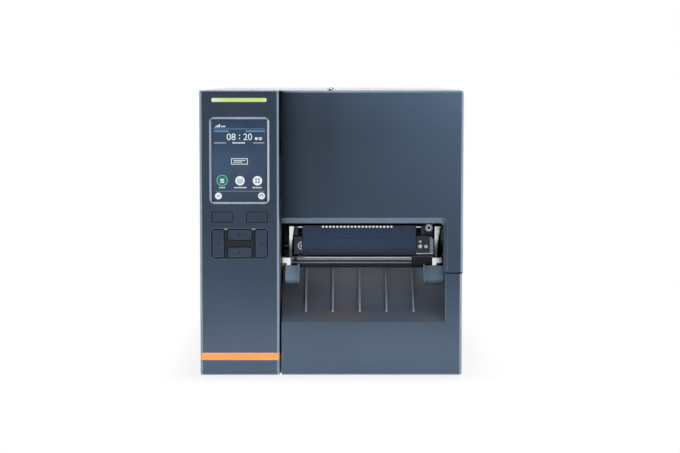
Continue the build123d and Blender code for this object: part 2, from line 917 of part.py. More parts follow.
def make_rear_panel():
    """Rear panel with its lip, cut-outs, fan-fold slot and vents."""
    outline = [(left, case_bottom), (right, case_bottom), (right, case_top), (left, case_top)]
    plate = front_profile(outline, rear_inner, back, corner_radius)
    plate = chamfer(plate.faces().sort_by(Axis.Y)[-1].edges(), edge_radius / 2)
    x0 = left + wall + small_clearance
    x1 = wall_left - small_clearance
    z1 = roof_inner - small_clearance
    lip = block(x0, x1 - overrun, rear_inner - rear_lip_length, rear_inner, bay_floor, z1)
    lip -= block(x0 + rear_lip_thickness, x1, rear_inner - rear_lip_length - overrun, rear_inner,
                 bay_floor - overrun, z1 - rear_lip_thickness)
    plate += lip
    y0 = rear_inner - overrun
    y1 = back + overrun
    for x, z, wide, tall in rear_cutouts():
        plate -= block(x - wide / 2, x + wide / 2, y0, y1, z - tall / 2, z + tall / 2)
    x, z, wide, tall = fan_fold_slot()
    plate -= rounded(x, z, wide, tall, tall / 2 - small_clearance, y0, y1)
    vent_z = case_top - vent_below_top - vent_length / 2
    for index in range(vent_count):
        x = (left + wall_left) / 2 + (index - (vent_count - 1) / 2) * vent_pitch
        plate -= block(x - vent_width / 2, x + vent_width / 2, y0, y1,
                       vent_z - vent_length / 2, vent_z + vent_length / 2)
    return plate


def fan_fold_slot():
    x = bay_left + slot_from_wall + slot_width / 2
    return x, bay_floor + slot_up, slot_width, slot_height


def inlet_place():
    """Midway between the rear panel's lip and the data sockets."""
    lip = left + wall + small_clearance + rear_lip_thickness
    ports = wall_left - port_from_wall - serial_height / 2 - port_wall
    return (lip + ports) / 2, bay_floor + inlet_height_up


def switch_place():
    x, z = inlet_place()
    return x, z + inlet_height / 2 + switch_gap_above


def port_places():
    """Each socket on the rear: middle, width and height."""
    x = wall_left - port_from_wall
    z = bay_floor + ports_up
    return [(x, z, serial_height, serial_width),
            (x, z + port_pitch + serial_width / 4, lan_height, lan_width),
            (x, z + 2 * port_pitch + serial_width / 4, usb_height, usb_width),
            (x, z + 3 * port_pitch + serial_width / 4, host_height, host_width)]


def rear_cutouts():
    x, z = inlet_place()
    cuts = [(x, z, inlet_width + 2 * small_clearance, inlet_height + 2 * small_clearance)]
    x, z = switch_place()
    cuts.append((x, z, switch_width + 2 * small_clearance, switch_tall + 2 * small_clearance))
    for x, z, wide, tall in port_places():
        cuts.append((x, z, wide + 2 * small_clearance, tall + 2 * small_clearance))
    return cuts


# Door

def make_door_shell():
    """Front, roof and right side of the door in one shell, with the label notch and the window."""
    y1 = rear_inner - seam
    body = block(door_left, right, front, y1, split_line, case_top)
    upright = body.edges().filter_by(Axis.Z).sort_by(lambda e: e.center().Y - e.center().X)[0]
    shoulder = body.edges().filter_by(Axis.Y).sort_by(lambda e: e.center().X + e.center().Z)[-1]
    crest = body.edges().filter_by(Axis.X).sort_by(lambda e: e.center().Z - e.center().Y)[-1]
    body = fillet([upright, shoulder, crest], corner_radius)
    inside = block(door_left - overrun, door_inner, front + wall, y1 + overrun,
                   split_line - overrun, roof_inner)
    inner_corner = inside.edges().filter_by(Axis.Z).sort_by(lambda e: e.center().Y - e.center().X)[0]
    inside = fillet(inner_corner, corner_radius / 2)
    shell = body - inside
    hinge_edge = hinge_x + hinge_radius + hinge_gap
    shell -= block(door_left - overrun, hinge_edge, front + wall, y1 + overrun,
                   roof_inner - overrun, case_top + overrun)
    frame_back = front + notch_bevel_depth + wall
    frame_right = notch_right + notch_bevel_side + notch_frame
    frame = block(door_left, frame_right, front + wall, frame_back, notch_top - notch_frame,
                  notch_top + notch_bevel_height + notch_frame)
    frame += block(notch_right - notch_frame, frame_right, front + wall, frame_back,
                   split_line, notch_top)
    shell += frame
    shell -= notch_cutter()
    flange_z = split_line + wall
    shell += block(door_inner - door_flange, door_inner, frame_back, y1, split_line, flange_z)
    shell += block(door_inner - door_flange, door_inner, y1 - wall, y1, split_line, roof_inner)
    opening = window_cut(window_length - 2 * window_border, window_height - 2 * window_border,
                         window_corner - window_border, door_inner - overrun, right + overrun)
    rebate = window_cut(window_length, window_height, window_corner, right - window_pane,
                        right + overrun)
    return shell - opening - rebate


def window_middle():
    y1 = rear_inner - seam
    return (front + y1) / 2, (split_line + case_top) / 2


def window_cut(long, tall, corner, x0, x1):
    y_mid, z_mid = window_middle()
    plane = Plane.YZ.offset(x0) * Pos(y_mid, z_mid)
    return extrude(plane * RectangleRounded(long, tall, corner), amount=x1 - x0)


def make_door_window():
    return window_cut(window_length - 2 * small_clearance, window_height - 2 * small_clearance,
                      window_corner - small_clearance, right - window_pane, right - small_clearance)


def notch_outline(right_edge, top_edge):
    """The notch seen from the front, open to the left and below, with one rounded corner."""
    low = split_line - overrun
    far_left = door_left - overrun
    face = make_face(Polyline((far_left, low), (far_left, top_edge), (right_edge, top_edge),
                              (right_edge, low), close=True))
    corner = face.vertices().sort_by(lambda v: v.X + v.Y)[-1]
    return fillet(corner, notch_corner)


def notch_cutter():
    """The notch with its bevel, wider at the front face than behind it."""
    front_face = notch_outline(notch_right + notch_bevel_side, notch_top + notch_bevel_height)
    inner_face = notch_outline(notch_right, notch_top)
    straight = extrude(Plane.XZ.offset(overrun - front) * inner_face,
                       amount=-(notch_bevel_depth + wall + 2 * overrun))
    bevel = loft([Plane.XZ.offset(-front) * front_face,
                  Plane.XZ.offset(-front - notch_bevel_depth) * inner_face])
    return straight + bevel


def hinge_bands():
    """Where the two hinges lie along Y."""
    first = front + wall + hinge_from_edge
    last = rear_inner - hinge_from_edge - hinge_length
    return [first, last]


def hinge_leaf(side, odd):
    """One leaf of both hinges, with its own knuckles; side is -1 on the case and 1 on the door."""
    leaves = []
    step = hinge_length / hinge_knuckles
    near = hinge_radius + hinge_gap
    top = roof_inner
    low = top - hinge_leaf_thickness
    for y0 in hinge_bands():
        inner = hinge_x + side * near
        outer = hinge_x + side * (near + hinge_leaf_width)
        leaf = block(min(inner, outer), max(inner, outer), y0, y0 + hinge_length, low, top)
        for index in range(hinge_knuckles):
            if index % 2 != odd:
                continue
            a = y0 + index * step + hinge_knuckle_gap / 2
            b = y0 + (index + 1) * step - hinge_knuckle_gap / 2
            tongue = block(min(hinge_x, inner + side), max(hinge_x, inner + side), a, b, low, top)
            knuckle = rod_y(hinge_x, a, b, hinge_z, hinge_radius)
            leaf += tongue + knuckle
        leaf -= rod_y(hinge_x, y0 - overrun, y0 + hinge_length + overrun, hinge_z,
                      hinge_pin_radius + running_clearance)
        leaves.append(leaf)
    return group(leaves)


def make_hinge_pins():
    pins = []
    for y0 in hinge_bands():
        pin = rod_y(hinge_x, y0, y0 + hinge_length, hinge_z, hinge_pin_radius)
        pin += rod_y(hinge_x, y0 - hinge_knuckle_gap - edge_radius, y0 - small_clearance, hinge_z,
                     hinge_radius - small_clearance)
        pins.append(pin + rod_y(hinge_x, y0 - edge_radius, y0 + small_clearance, hinge_z, hinge_pin_radius))
    return group(pins)


# Print unit frame

def make_side_plate(x0, x1, flange_width):
    """One steel side plate, with its foot, its bores and a tapered flange at the front."""
    top = media_plane + cover_height
    beam_y = platen_y + platen_radius + deck_front_gap
    rear_y = tear_y + damper_pivot_setback + damper_arm_radius + wall
    low = platen_z - bearing_radius - wall
    points = [(tear_y, low), (tear_y, top), (pivot_y + pivot_boss_radius, top), (rear_y, pivot_z),
              (rear_y, bay_floor), (beam_y, bay_floor), (beam_y, low)]
    plate = side_profile(points, x0, x1)
    plate -= rod_x(x0 - overrun, x1 + overrun, pivot_y, pivot_z, pivot_radius)
    plate -= rod_x(x0 - overrun, x1 + overrun, platen_y, platen_z, bearing_radius)
    plate -= rod_x(x0 - overrun, x1 + overrun, cam_y, cam_z, cam_shaft_radius + running_clearance)
    pin_y, pin_z = damper_places()[0]
    plate -= rod_x(x0 - overrun, x1 + overrun, pin_y, pin_z, damper_pin_radius + running_clearance)
    window_low = bay_floor + 2 * base_rim_height
    window_top = media_plane - deck_drop - deck_thickness - deck_beam_depth - wall
    plate -= side_profile([(beam_y + 2 * post_radius, window_low), (rear_y - 2 * post_radius, window_low),
                           (rear_y - 2 * post_radius, window_top), (beam_y + 2 * post_radius, window_top)],
                          x0 - overrun, x1 + overrun, corner_radius)
    flange_low = top - plate_flange_height
    flange = front_profile([(x0, flange_low), (x0, top), (x0 + flange_width, top),
                            (x0 + plate_flange_foot, flange_low)], tear_y, tear_y + plate_thickness)
    return plate + flange


def make_deck():
    """Cross beam with the label deck on it, from the centre wall to the right side plate."""
    y0 = platen_y + platen_radius + deck_front_gap
    y1 = y0 + deck_length
    top = media_plane - deck_drop
    deck = block(left_plate_in, right_plate_in, y0, y1, top - deck_thickness, top)
    entry = deck.edges().filter_by(Axis.X).group_by(Axis.Z)[-1].sort_by(Axis.Y)
    deck = fillet([entry[0], entry[-1]], deck_thickness / 2)
    low = top - deck_thickness - deck_beam_depth
    beam = block(left_plate_in, right_plate_in, y0, y0 + deck_beam_width, low, top - deck_thickness)
    beam -= block(left_plate_in + wall, right_plate_in - wall, y0 + wall, y0 + deck_beam_width - wall,
                  low - overrun, top - deck_thickness)
    for index in range(1, deck_rib_count):
        x = left_plate_in + index * (right_plate_in - left_plate_in) / deck_rib_count
        beam += block(x, x + deck_rib_thickness, y0 + wall / 2, y0 + deck_beam_width - wall / 2,
                      low, top - deck_thickness)
    sensor_y = y0 + sensor_setback
    deck = deck + beam
    deck -= block(media_middle - sensor_width / 2 - small_clearance,
                  media_middle + sensor_width / 2 + small_clearance,
                  sensor_y - sensor_length / 2 - small_clearance,
                  sensor_y + sensor_length / 2 + small_clearance,
                  top - sensor_height, top + overrun)
    return deck


def make_wall_spacers():
    """Spacers that carry the left side plate off the centre wall, and the idler's stub axle."""
    pieces = []
    y0 = platen_y + platen_radius + deck_front_gap + deck_beam_width / 2
    low = bay_floor + base_rim_height
    high = media_plane - deck_beam_depth / 2
    for y, z in ((y0, low), (y0, high), (pivot_y, pivot_z - 2 * pivot_boss_radius)):
        pieces.append(rod_x(bay_left, left_plate, y, z, post_radius))
    idler_y, idler_z = idler_place()
    tip = wall_left - gear_stand_off - gear_width - screw_head_height
    axle = rod_x(tip, bay_left, idler_y, idler_z, idler_axle_radius)
    cap = rod_x(tip, tip + screw_head_height - small_clearance, idler_y, idler_z,
                idler_axle_radius + bearing_flange)
    pieces.append(axle + cap)
    return group(pieces)


def make_tear_bar():
    """Bar with its tearing edge, over the whole label width, and a groove along its face."""
    x0 = cover_left - tear_bar_overhang
    x1 = right_plate_in - 2 * lever_gap
    top = media_plane
    y0 = tear_y
    y1 = y0 + tear_bar_thickness
    low = top - tear_bar_height
    groove_low = low + tear_groove_up
    points = [(y0, low), (y0, groove_low), (y0 + tear_groove_depth, groove_low),
              (y0 + tear_groove_depth, groove_low + tear_groove_height),
              (y0, groove_low + tear_groove_height), (y0, top - tear_bar_edge),
              (y0 + tear_bar_edge, top), (y1, top), (y1, low)]
    return side_profile(points, x0, x1)


def make_platen_latches():
    """Bright clips in front of the side plates, at both ends of the tear bar."""
    top = media_plane - seam
    low = top - latch_height
    y0 = tear_y - latch_depth
    pieces = []
    left_end = left_plate + plate_thickness / 2
    for x0, x1, stem_x in ((left_end - left_latch_width, left_end, left_end - latch_stem_width),
                           (right_plate - right_latch_width / 2, right_plate + right_latch_width / 2,
                            right_plate - right_latch_width / 2)):
        head = block(x0, x1, y0, tear_y, low, top)
        head = fillet(head.edges().filter_by(Axis.X).group_by(Axis.Z)[-1].sort_by(Axis.Y)[0], edge_radius)
        stem = block(stem_x, stem_x + latch_stem_width, y0, tear_y, low - latch_stem, low)
        pieces.append(head + stem)
    return group(pieces)


def make_chute_guides():
    """Two tongues with round ends that lie over the upper corners of the chute."""
    plane, length, _ = chute_plane()
    pieces = []
    spans = [(door_left + chute_wall + small_clearance, guide_left_width, 1),
             (notch_right + chute_side_step - small_clearance - guide_right_width, guide_right_width, -1)]
    for x0, wide, side in spans:
        x_mid = x0 + wide / 2 - media_middle
        sheet = Pos(x_mid, length - guide_length / 2) * Rectangle(wide, guide_length)
        sheet = fillet(sheet.vertices().group_by(Axis.Y)[0], wide * guide_round_share)
        tongue = extrude(plane * Pos(0, 0, guide_lift) * sheet, amount=guide_thickness)
        edge_x = x_mid + side * (wide + guide_flange) / 2
        fin = Pos(edge_x, length - guide_length / 2) * Rectangle(guide_flange, guide_length + guide_flange)
        tongue += extrude(plane * Pos(0, 0, guide_lift) * fin, amount=guide_thickness + guide_flange)
        pieces.append(tongue)
    return group(pieces)


# Platen and gears

def gear(teeth, tooth_angle, x0, hub_radius, bore):
    """A spur gear along X with a thin web; one tooth points along tooth_angle."""
    pitch_radius = gear_module * teeth / 2
    tip = pitch_radius + gear_tip_share * gear_module
    root = pitch_radius - gear_root_share * gear_module
    flank = ((root, -gear_root_spread_share), (tip, -gear_tip_spread_share),
             (tip, gear_tip_spread_share), (root, gear_root_spread_share))
    half = pi / 2 / teeth - gear_backlash / 2 / pitch_radius
    points = []
    for index in range(teeth):
        middle = radians(tooth_angle) + 2 * pi * index / teeth
        for radius, spread in flank:
            angle = middle + spread * half
            points.append((radius * cos(angle), radius * sin(angle)))
    face = make_face(Polyline(*points, close=True))
    solid = extrude(Plane.YZ.offset(x0) * face, amount=gear_width)
    inner = root - gear_rim
    if inner > hub_radius + gear_rim:
        side = (gear_width - gear_web) / 2
        for start in (x0, x0 + gear_width - side):
            ring = rod_x(start, start + side, 0, 0, inner) - rod_x(start, start + side, 0, 0, hub_radius)
            solid -= ring
    if bore:
        solid -= rod_x(x0 - overrun, x0 + gear_width + overrun, 0, 0, bore)
    return solid


def gear_left():
    return wall_left - gear_stand_off - gear_width


def make_platen_gear():
    solid = gear(platen_teeth, idler_angle, gear_left(), gear_hub_radius, shaft_radius)
    return Pos(0, platen_y, platen_z) * solid


def idler_tooth_angle():
    """A gap of the idler meets the platen gear's tooth on the line of centres."""
    return idler_angle + 180 + 180 / idler_teeth


def make_idler_gear():
    y, z = idler_place()
    solid = gear(idler_teeth, idler_tooth_angle(), gear_left(), gear_hub_radius,
                 idler_axle_radius + running_clearance)
    return Pos(0, y, z) * solid


def make_motor_pinion():
    pitch = 360 / idler_teeth
    offset = ((motor_angle - idler_tooth_angle()) % pitch) / pitch
    angle = motor_angle + 180 + (offset + 1 / 2) * 360 / pinion_teeth
    y, z = motor_place()
    solid = gear(pinion_teeth, angle, gear_left(), gear_hub_radius, 0)
    x0 = gear_left()
    shaft = rod_x(x0 - bracket_thickness - gear_stand_off - motor_shaft_depth + seam, x0, 0, 0,
                  motor_shaft_radius)
    return Pos(0, y, z) * (solid + shaft)


def make_motor_bracket():
    y, z = motor_place()
    x1 = gear_left() - gear_stand_off
    x0 = x1 - bracket_thickness
    half = motor_size / 2
    reach = half + bracket_margin
    plate = block(x0, x1, y - reach, y + reach, z - reach, z + reach)
    plate -= rod_x(x0 - overrun, x1 + overrun, y, z, motor_pilot_radius + small_clearance)
    for dy, dz in ((1, 1), (1, -1), (-1, -1)):
        plate += rod_x(x1, wall_left, y + dy * half, z + dz * half, post_radius)
    return plate


def make_feed_motor():
    y, z = motor_place()
    x1 = gear_left() - gear_stand_off - bracket_thickness
    x0 = x1 - motor_length
    half = motor_size / 2
    body = block(x0, x1, y - half, y + half, z - half, z + half)
    body = fillet(body.edges().filter_by(Axis.X), motor_corner)
    cap = motor_length / 5
    groove_cut = block(x0 + cap, x1 - cap, y - half - overrun, y + half + overrun,
                       z - half - overrun, z + half + overrun)
    waist = block(x0 + cap, x1 - cap, y - half + edge_radius, y + half - edge_radius,
                  z - half + edge_radius, z + half - edge_radius)
    body = body - (groove_cut - waist)
    body += rod_x(x1, x1 + motor_pilot_height, y, z, motor_pilot_radius)
    body -= rod_x(x1 - motor_shaft_depth, x1 + overrun, y, z, motor_shaft_radius + running_clearance)
    return body


def make_platen_shaft():
    x0 = gear_left() - screw_head_height
    x1 = right_plate + bearing_flange_thickness
    shaft = rod_x(x0, x1, platen_y, platen_z, shaft_radius)
    core = rod_x(cover_left - platen_margin, cover_right + platen_margin, platen_y, platen_z,
                 platen_core_radius)
    head = rod_x(x0, x0 + screw_head_height, platen_y, platen_z, shaft_radius + bearing_flange)
    return shaft + core + head


def make_platen_rubber():
    x0 = cover_left - platen_margin
    x1 = cover_right + platen_margin
    tube = rod_x(x0, x1, platen_y, platen_z, platen_radius)
    return tube - rod_x(x0 - overrun, x1 + overrun, platen_y, platen_z, platen_core_radius)


def bush(x0, x1, y, z, flange_side):
    """A flanged bush; the flange lies on the side given."""
    ring = rod_x(x0, x1, y, z, bearing_radius)
    if flange_side > 0:
        ring += rod_x(x1, x1 + bearing_flange_thickness, y, z, bearing_radius + bearing_flange)
    else:
        ring += rod_x(x0 - bearing_flange_thickness, x0, y, z, bearing_radius + bearing_flange)
    return ring - rod_x(x0 - overrun, x1 + overrun, y, z, shaft_radius + running_clearance)


def make_shaft_bearings():
    pieces = [bush(wall_left, bay_left, platen_y, platen_z, 1),
              bush(wall_left, bay_left, rewind_y, rewind_z, 1),
              bush(wall_left, bay_left, supply_y, supply_z, 1),
              bush(left_plate, left_plate_in, platen_y, platen_z, -1),
              bush(right_plate_in, right_plate, platen_y, platen_z, -1)]
    return group(pieces)


# Print head

def make_head_carriage():
    """Casting that carries the head: end blocks, bridge and two arms to the pivot."""
    low = media_plane + block_bottom_gap
    top = low + block_height
    y0 = tear_y + small_clearance
    y1 = y0 + block_depth
    left_end = block(left_block, left_block + left_block_width, y0, y1, low, top)
    right_end = front_profile([(right_block, low), (right_block, top), (right_block_end, top),
                               (right_block_end + right_block_step, top - right_block_step),
                               (right_block_end + right_block_step, low)], y0, y1)
    left_end = fillet(left_end.edges().filter_by(Axis.X).group_by(Axis.Z)[-1].sort_by(Axis.Y)[0],
                      edge_radius)
    pieces = [left_end, right_end]
    bridge_top = top + carriage_thickness
    end = right_block_end + right_block_step
    pieces.append(block(left_block, end, y0 + block_depth / 2, pivot_y - pivot_boss_radius, top, bridge_top))
    for x0, x1 in ((left_block, left_block + carriage_arm), (end - carriage_arm, end)):
        arm = side_profile([(y1 - overrun, low + overrun), (y1 - overrun, bridge_top),
                            (pivot_y, pivot_z + pivot_boss_radius),
                            (pivot_y, pivot_z - pivot_boss_radius)], x0, x1)
        pieces.append(arm)
        pieces.append(rod_x(x0, x1, pivot_y, pivot_z, pivot_boss_radius))
    bar_y, bar_z = ribbon_bar_place()
    for x in (left_block, right_block + lug_width - carriage_arm):
        pieces.append(block(x, x + carriage_arm, bar_y - 2 * ribbon_bar_radius, bar_y + 2 * ribbon_bar_radius,
                            top - wall, bar_z))
    carriage = joined(pieces)
    carriage += rod_x(left_block, end, pivot_y, pivot_z, pivot_radius + wall)
    carriage -= rod_x(left_block - overrun, end + overrun, bar_y, bar_z, ribbon_bar_radius)
    lug_x = right_plate_in - knob_from_plate
    lug_top = media_plane + knob_height + knob_stem_radius + wall
    lug_y = y0 + knob_length
    carriage += block(lug_x - lug_width / 2, lug_x + lug_width / 2, lug_y, lug_y + lug_thickness,
                      top - wall, lug_top)
    carriage -= rod_x(left_block - overrun, end + overrun, pivot_y, pivot_z, pivot_radius + running_clearance)
    carriage -= rod_y(lug_x, y0 - overrun, lug_y + lug_thickness + overrun,
                      media_plane + knob_height, knob_stem_radius + running_clearance)
    return carriage


def make_pivot_shaft():
    return rod_x(left_plate - seam, right_plate + seam, pivot_y, pivot_z, pivot_radius)


def make_print_head():
    """Finned heat sink with the thermal line under it."""
    low = media_plane + head_lift_gap
    x0 = cover_left - cover_gap
    x1 = cover_right + cover_gap
    y0 = platen_y - head_depth / 3
    y1 = y0 + head_depth
    base_top = low + head_line_height + head_height / 3
    sink = block(x0, x1, y0, y1, low + head_line_height, base_top)
    for index in range(head_fin_count):
        y = y0 + index * (head_depth - head_fin_thickness) / (head_fin_count - 1)
        sink += block(x0, x1, y, y + head_fin_thickness, base_top, low + head_height)
    line = rod_x(x0, x1, platen_y, low + head_line_width, head_line_width)
    line -= block(x0 - overrun, x1 + overrun, platen_y - 2 * head_line_width, platen_y + 2 * head_line_width,
                  low + head_line_height + small_clearance, low + 3 * head_line_width)
    return sink + line


def make_head_cover():
    """Dark cover plate in front of the head, with the comb along its top edge."""
    low = media_plane + cover_bottom_gap
    top = low + cover_height
    y0 = tear_y + cover_setback
    y1 = y0 + cover_thickness
    plate = block(cover_left, cover_right, y0, y1, low, top)
    plate = fillet(plate.edges().filter_by(Axis.Y), edge_radius)
    first = media_middle + comb_offset - (comb_count - 1) / 2 * comb_pitch
    for index in range(comb_count):
        x = first + index * comb_pitch
        plate -= block(x - comb_slot / 2, x + comb_slot / 2, y0 - overrun, y1 + overrun,
                       top - comb_depth, top + overrun)
        pocket_top = top - comb_depth - comb_pocket_gap
        plate -= block(x - comb_pocket_width / 2, x + comb_pocket_width / 2, y0 - overrun,
                       y0 + comb_pocket_depth, pocket_top - comb_pocket_height, pocket_top)
    plate += rounded(media_middle, (low + top) / 2 - comb_depth, cover_width / 2, cover_height / 3,
                     edge_radius, y0 - emboss_height, y0)
    bridge_low = media_plane + block_bottom_gap + block_height
    shelf = block(cover_left + corner_radius, cover_right - corner_radius, y1,
                  tear_y + small_clearance + block_depth / 2, bridge_low, bridge_low + carriage_thickness)
    return plate + shelf


def ribbon_bar_place():
    z = media_plane + cover_bottom_gap + cover_height - ribbon_bar_drop
    y = tear_y + cover_setback + cover_thickness + ribbon_bar_radius + ribbon_bar_setback
    return y, z


def make_ribbon_bar():
    """Bright bar that the ribbon runs over, behind the comb, lying in the carriage's two saddles."""
    y, z = ribbon_bar_place()
    return rod_x(left_block, right_block + lug_width, y, z, ribbon_bar_radius)


def make_pressure_knob():
    """Knurled knob that sets the head pressure, with its stem in the lug."""
    x = right_plate_in - knob_from_plate
    z = media_plane + knob_height
    y1 = tear_y + small_clearance + knob_length - small_clearance
    knob = rod_y(x, y1 - knob_length, y1, z, knob_radius)
    for index in range(knob_flute_count):
        angle = 2 * pi * index / knob_flute_count
        knob -= rod_y(x + knob_radius * cos(angle), y1 - knob_length - overrun, y1 + overrun,
                      z + knob_radius * sin(angle), knob_flute_radius)
    stem = rod_y(x, y1, y1 + knob_stem_length, z, knob_stem_radius)
    slot = block(x - knob_radius, x + knob_radius, y1 - knob_length - overrun, y1 - knob_length + seam,
                 z - screw_slot / 2, z + screw_slot / 2)
    return knob + stem - slot


def make_head_lever():
    """Release lever: hub on the cam shaft and a paddle that reaches forward."""
    y_tip = cam_y - lever_reach
    top = media_plane + lever_tip_height
    low = top - lever_front_height
    paddle = side_profile([(cam_y, cam_z - lever_hub_radius + edge_radius), (y_tip, low), (y_tip, top),
                           (cam_y, cam_z + lever_hub_radius - edge_radius)], lever_left, lever_right)
    tip_edges = paddle.edges().filter_by(Axis.X).sort_by(Axis.Y)[:2]
    paddle = fillet(tip_edges, corner_radius)
    hub = rod_x(lever_left, lever_right, cam_y, cam_z, lever_hub_radius)
    boss = rod_x(lever_right, lever_right + lever_boss, cam_y, cam_z, cam_shaft_radius + wall)
    lever = paddle + hub + boss
    return lever - rod_x(lever_left - overrun, lever_right + lever_boss + overrun, cam_y, cam_z,
                         cam_shaft_radius)


def make_cam_shaft():
    """Shaft across the unit with a lifting finger under each arm of the carriage."""
    shaft = rod_x(left_plate - seam, lever_right + lever_boss, cam_y, cam_z, cam_shaft_radius)
    end = right_block_end + right_block_step
    for x in (left_block, end - carriage_arm):
        tip_y = cam_y - finger_length
        shaft += block(x, x + carriage_arm, tip_y, cam_y, cam_z - finger_radius, cam_z + finger_radius)
        shaft += rod_x(x, x + carriage_arm, tip_y, cam_z, finger_radius)
    return shaft


# Label path in front of the roll

def deck_end():
    return platen_y + platen_radius + deck_front_gap + deck_length


def rail_place():
    return deck_end() - rail_inset, media_plane - deck_drop - deck_thickness - rail_drop


def make_guide_rail():
    """Round rail under the deck's rear edge that the label guide slides on."""
    y, z = rail_place()
    return rod_x(left_plate_in, right_plate_in, y, z, rail_radius)


def make_media_guide():
    """Edge guide for the labels: it runs on the rail and reaches round the deck's rear edge."""
    y, z = rail_place()
    around = rail_radius + wall
    top = media_plane - deck_drop
    low = top - deck_thickness
    near = deck_end() + seam
    far = near + wall
    points = [(y - around, z - around), (far, z - around), (far, top + media_guide_height),
              (near - media_guide_length, top + media_guide_height), (near - media_guide_length, top + seam),
              (near, top + seam), (near, low - seam), (y - around, low - seam)]
    guide = side_profile(points, cover_right, cover_right + media_guide_width)
    return guide - rod_x(cover_right - overrun, cover_right + media_guide_width + overrun, y, z,
                         rail_radius + running_clearance)


def make_media_sensor():
    """Label gap sensor set in the deck."""
    top = media_plane - deck_drop
    y = platen_y + platen_radius + deck_front_gap + sensor_setback
    body = block(media_middle - sensor_width / 2, media_middle + sensor_width / 2,
                 y - sensor_length / 2, y + sensor_length / 2, top - sensor_height, top - seam)
    lens = rod_z(media_middle, y, top - seam, top - small_clearance, sensor_length / 5)
    return body + lens


def make_tear_bar_support():
    """Cross bar behind the tear bar, between the side plates."""
    y0 = tear_y + tear_bar_thickness
    y1 = platen_y - platen_radius - seam
    top = media_plane - tear_bar_edge
    points = [(y0, top - tear_support_height), (y0, top), ((y0 + y1) / 2, top), (y1, platen_z),
              (y1, top - tear_support_height)]
    return side_profile(points, left_plate_in, right_plate_in)


def damper_places():
    pivot = (tear_y + damper_pivot_setback, media_plane - damper_pivot_drop)
    bar = (deck_end() + seam + wall + damper_gap + damper_arm_radius, media_plane - damper_drop)
    return pivot, bar


def make_media_damper():
    """Sprung bar that takes up the web's jerks, on two arms with pins in the side plates."""
    (pivot_at, pivot_up), (bar_at, bar_up) = damper_places()
    x0 = left_plate_in + seam
    x1 = right_plate_in - seam
    lean = atan2(bar_up - pivot_up, bar_at - pivot_at)
    side_y = -sin(lean) * damper_arm_radius
    side_z = cos(lean) * damper_arm_radius
    pieces = []
    for a, pin in ((x0, (left_plate, x0)), (x1 - damper_arm, (x1, right_plate))):
        arm = side_profile([(pivot_at - side_y, pivot_up - side_z), (bar_at - side_y, bar_up - side_z),
                            (bar_at + side_y, bar_up + side_z), (pivot_at + side_y, pivot_up + side_z)],
                           a, a + damper_arm)
        pieces.append(arm + rod_x(a, a + damper_arm, pivot_at, pivot_up, damper_arm_radius)
                      + rod_x(a, a + damper_arm, bar_at, bar_up, damper_arm_radius))
        pieces.append(rod_x(pin[0], pin[1], pivot_at, pivot_up, damper_pin_radius))
    pieces.append(rod_x(x0, x1, bar_at, bar_up, damper_radius))
    return joined(pieces)


# Ribbon and label spindles

def make_ribbon_spindle(y, z, tail):
    """Driven spindle for a ribbon core: flange, bladed core with a tapered tip, shaft into the wall."""
    x0 = bay_left + bearing_flange_thickness + spindle_wall_gap
    x1 = x0 + spindle_length
    core = rod_x(x0, x1 - spindle_tip, 0, 0, spindle_core)
    tip = Pos(x1 - spindle_tip / 2, 0, 0) * Rot(0, 90, 0) * Cone(spindle_core, spindle_core - spindle_tip / 2,
                                                                 spindle_tip)
    flange = rod_x(x0, x0 + spindle_flange_thickness, 0, 0, spindle_flange_radius)
    flange = chamfer(flange.faces().sort_by(Axis.X)[-1].edges(), seam)
    solid = core + tip + flange
    for index in range(spindle_blade_count):
        blade = block(x0, x1 - 2 * spindle_tip, -spindle_blade_width / 2, spindle_blade_width / 2,
                      0, spindle_core + spindle_blade)
        solid += Rot(360 * index / spindle_blade_count, 0, 0) * blade
    solid += rod_x(wall_left - tail, x0, 0, 0, shaft_radius)
    return Pos(0, y, z) * solid


def make_supply_brake():
    """Friction brake of the supply spindle, on the back of the centre wall."""
    body = rod_x(wall_left - brake_length, wall_left, supply_y, supply_z, brake_radius)
    body += rod_x(wall_left - base_rim_thickness, wall_left, supply_y, supply_z, rewind_plate_radius)
    return body - rod_x(wall_left - brake_length - overrun, wall_left + overrun, supply_y, supply_z,
                        shaft_radius + running_clearance)


def make_rewind_motor():
    """Ribbon rewind motor with its round flange on the centre wall."""
    x0 = wall_left - rewind_motor_length
    body = rod_x(x0, wall_left, rewind_y, rewind_z, rewind_motor_radius)
    body = chamfer(body.faces().sort_by(Axis.X)[0].edges(), edge_radius)
    body += rod_x(wall_left - base_rim_thickness, wall_left, rewind_y, rewind_z, rewind_plate_radius)
    return body - rod_x(wall_left - brake_length, wall_left + overrun, rewind_y, rewind_z,
                        shaft_radius + running_clearance)


def make_label_spindle():
    """Fixed spindle that carries the label roll, with a foot on the wall and a bevelled nose."""
    x1 = bay_left + label_spindle_length
    spindle = rod_x(bay_left, x1, roll_y, roll_z, label_spindle_radius)
    spindle = chamfer(spindle.faces().sort_by(Axis.X)[-1].edges(), label_spindle_nose)
    foot = rod_x(bay_left, bay_left + label_spindle_flange_thickness, roll_y, roll_z, label_spindle_flange)
    foot = chamfer(foot.faces().sort_by(Axis.X)[-1].edges(), seam)
    return spindle + foot


def make_label_guard():
    """Guard disc that slides along the label spindle, stepped towards its hub."""
    x0 = guard_left()
    hub_out = label_spindle_radius + running_clearance + guard_hub_wall
    guard = rod_x(x0, x0 + guard_thickness, 0, 0, guard_radius)
    guard = chamfer(guard.faces().sort_by(Axis.X)[-1].edges(), edge_radius)
    guard += rod_x(x0, x0 + guard_thickness + guard_step_height, 0, 0, guard_step_radius)
    guard += rod_x(x0, x0 + guard_hub_length, 0, 0, hub_out)
    guard -= rod_x(x0 - overrun, x0 + guard_hub_length + overrun, 0, 0,
                   label_spindle_radius + running_clearance)
    return Pos(0, roll_y, roll_z) * guard


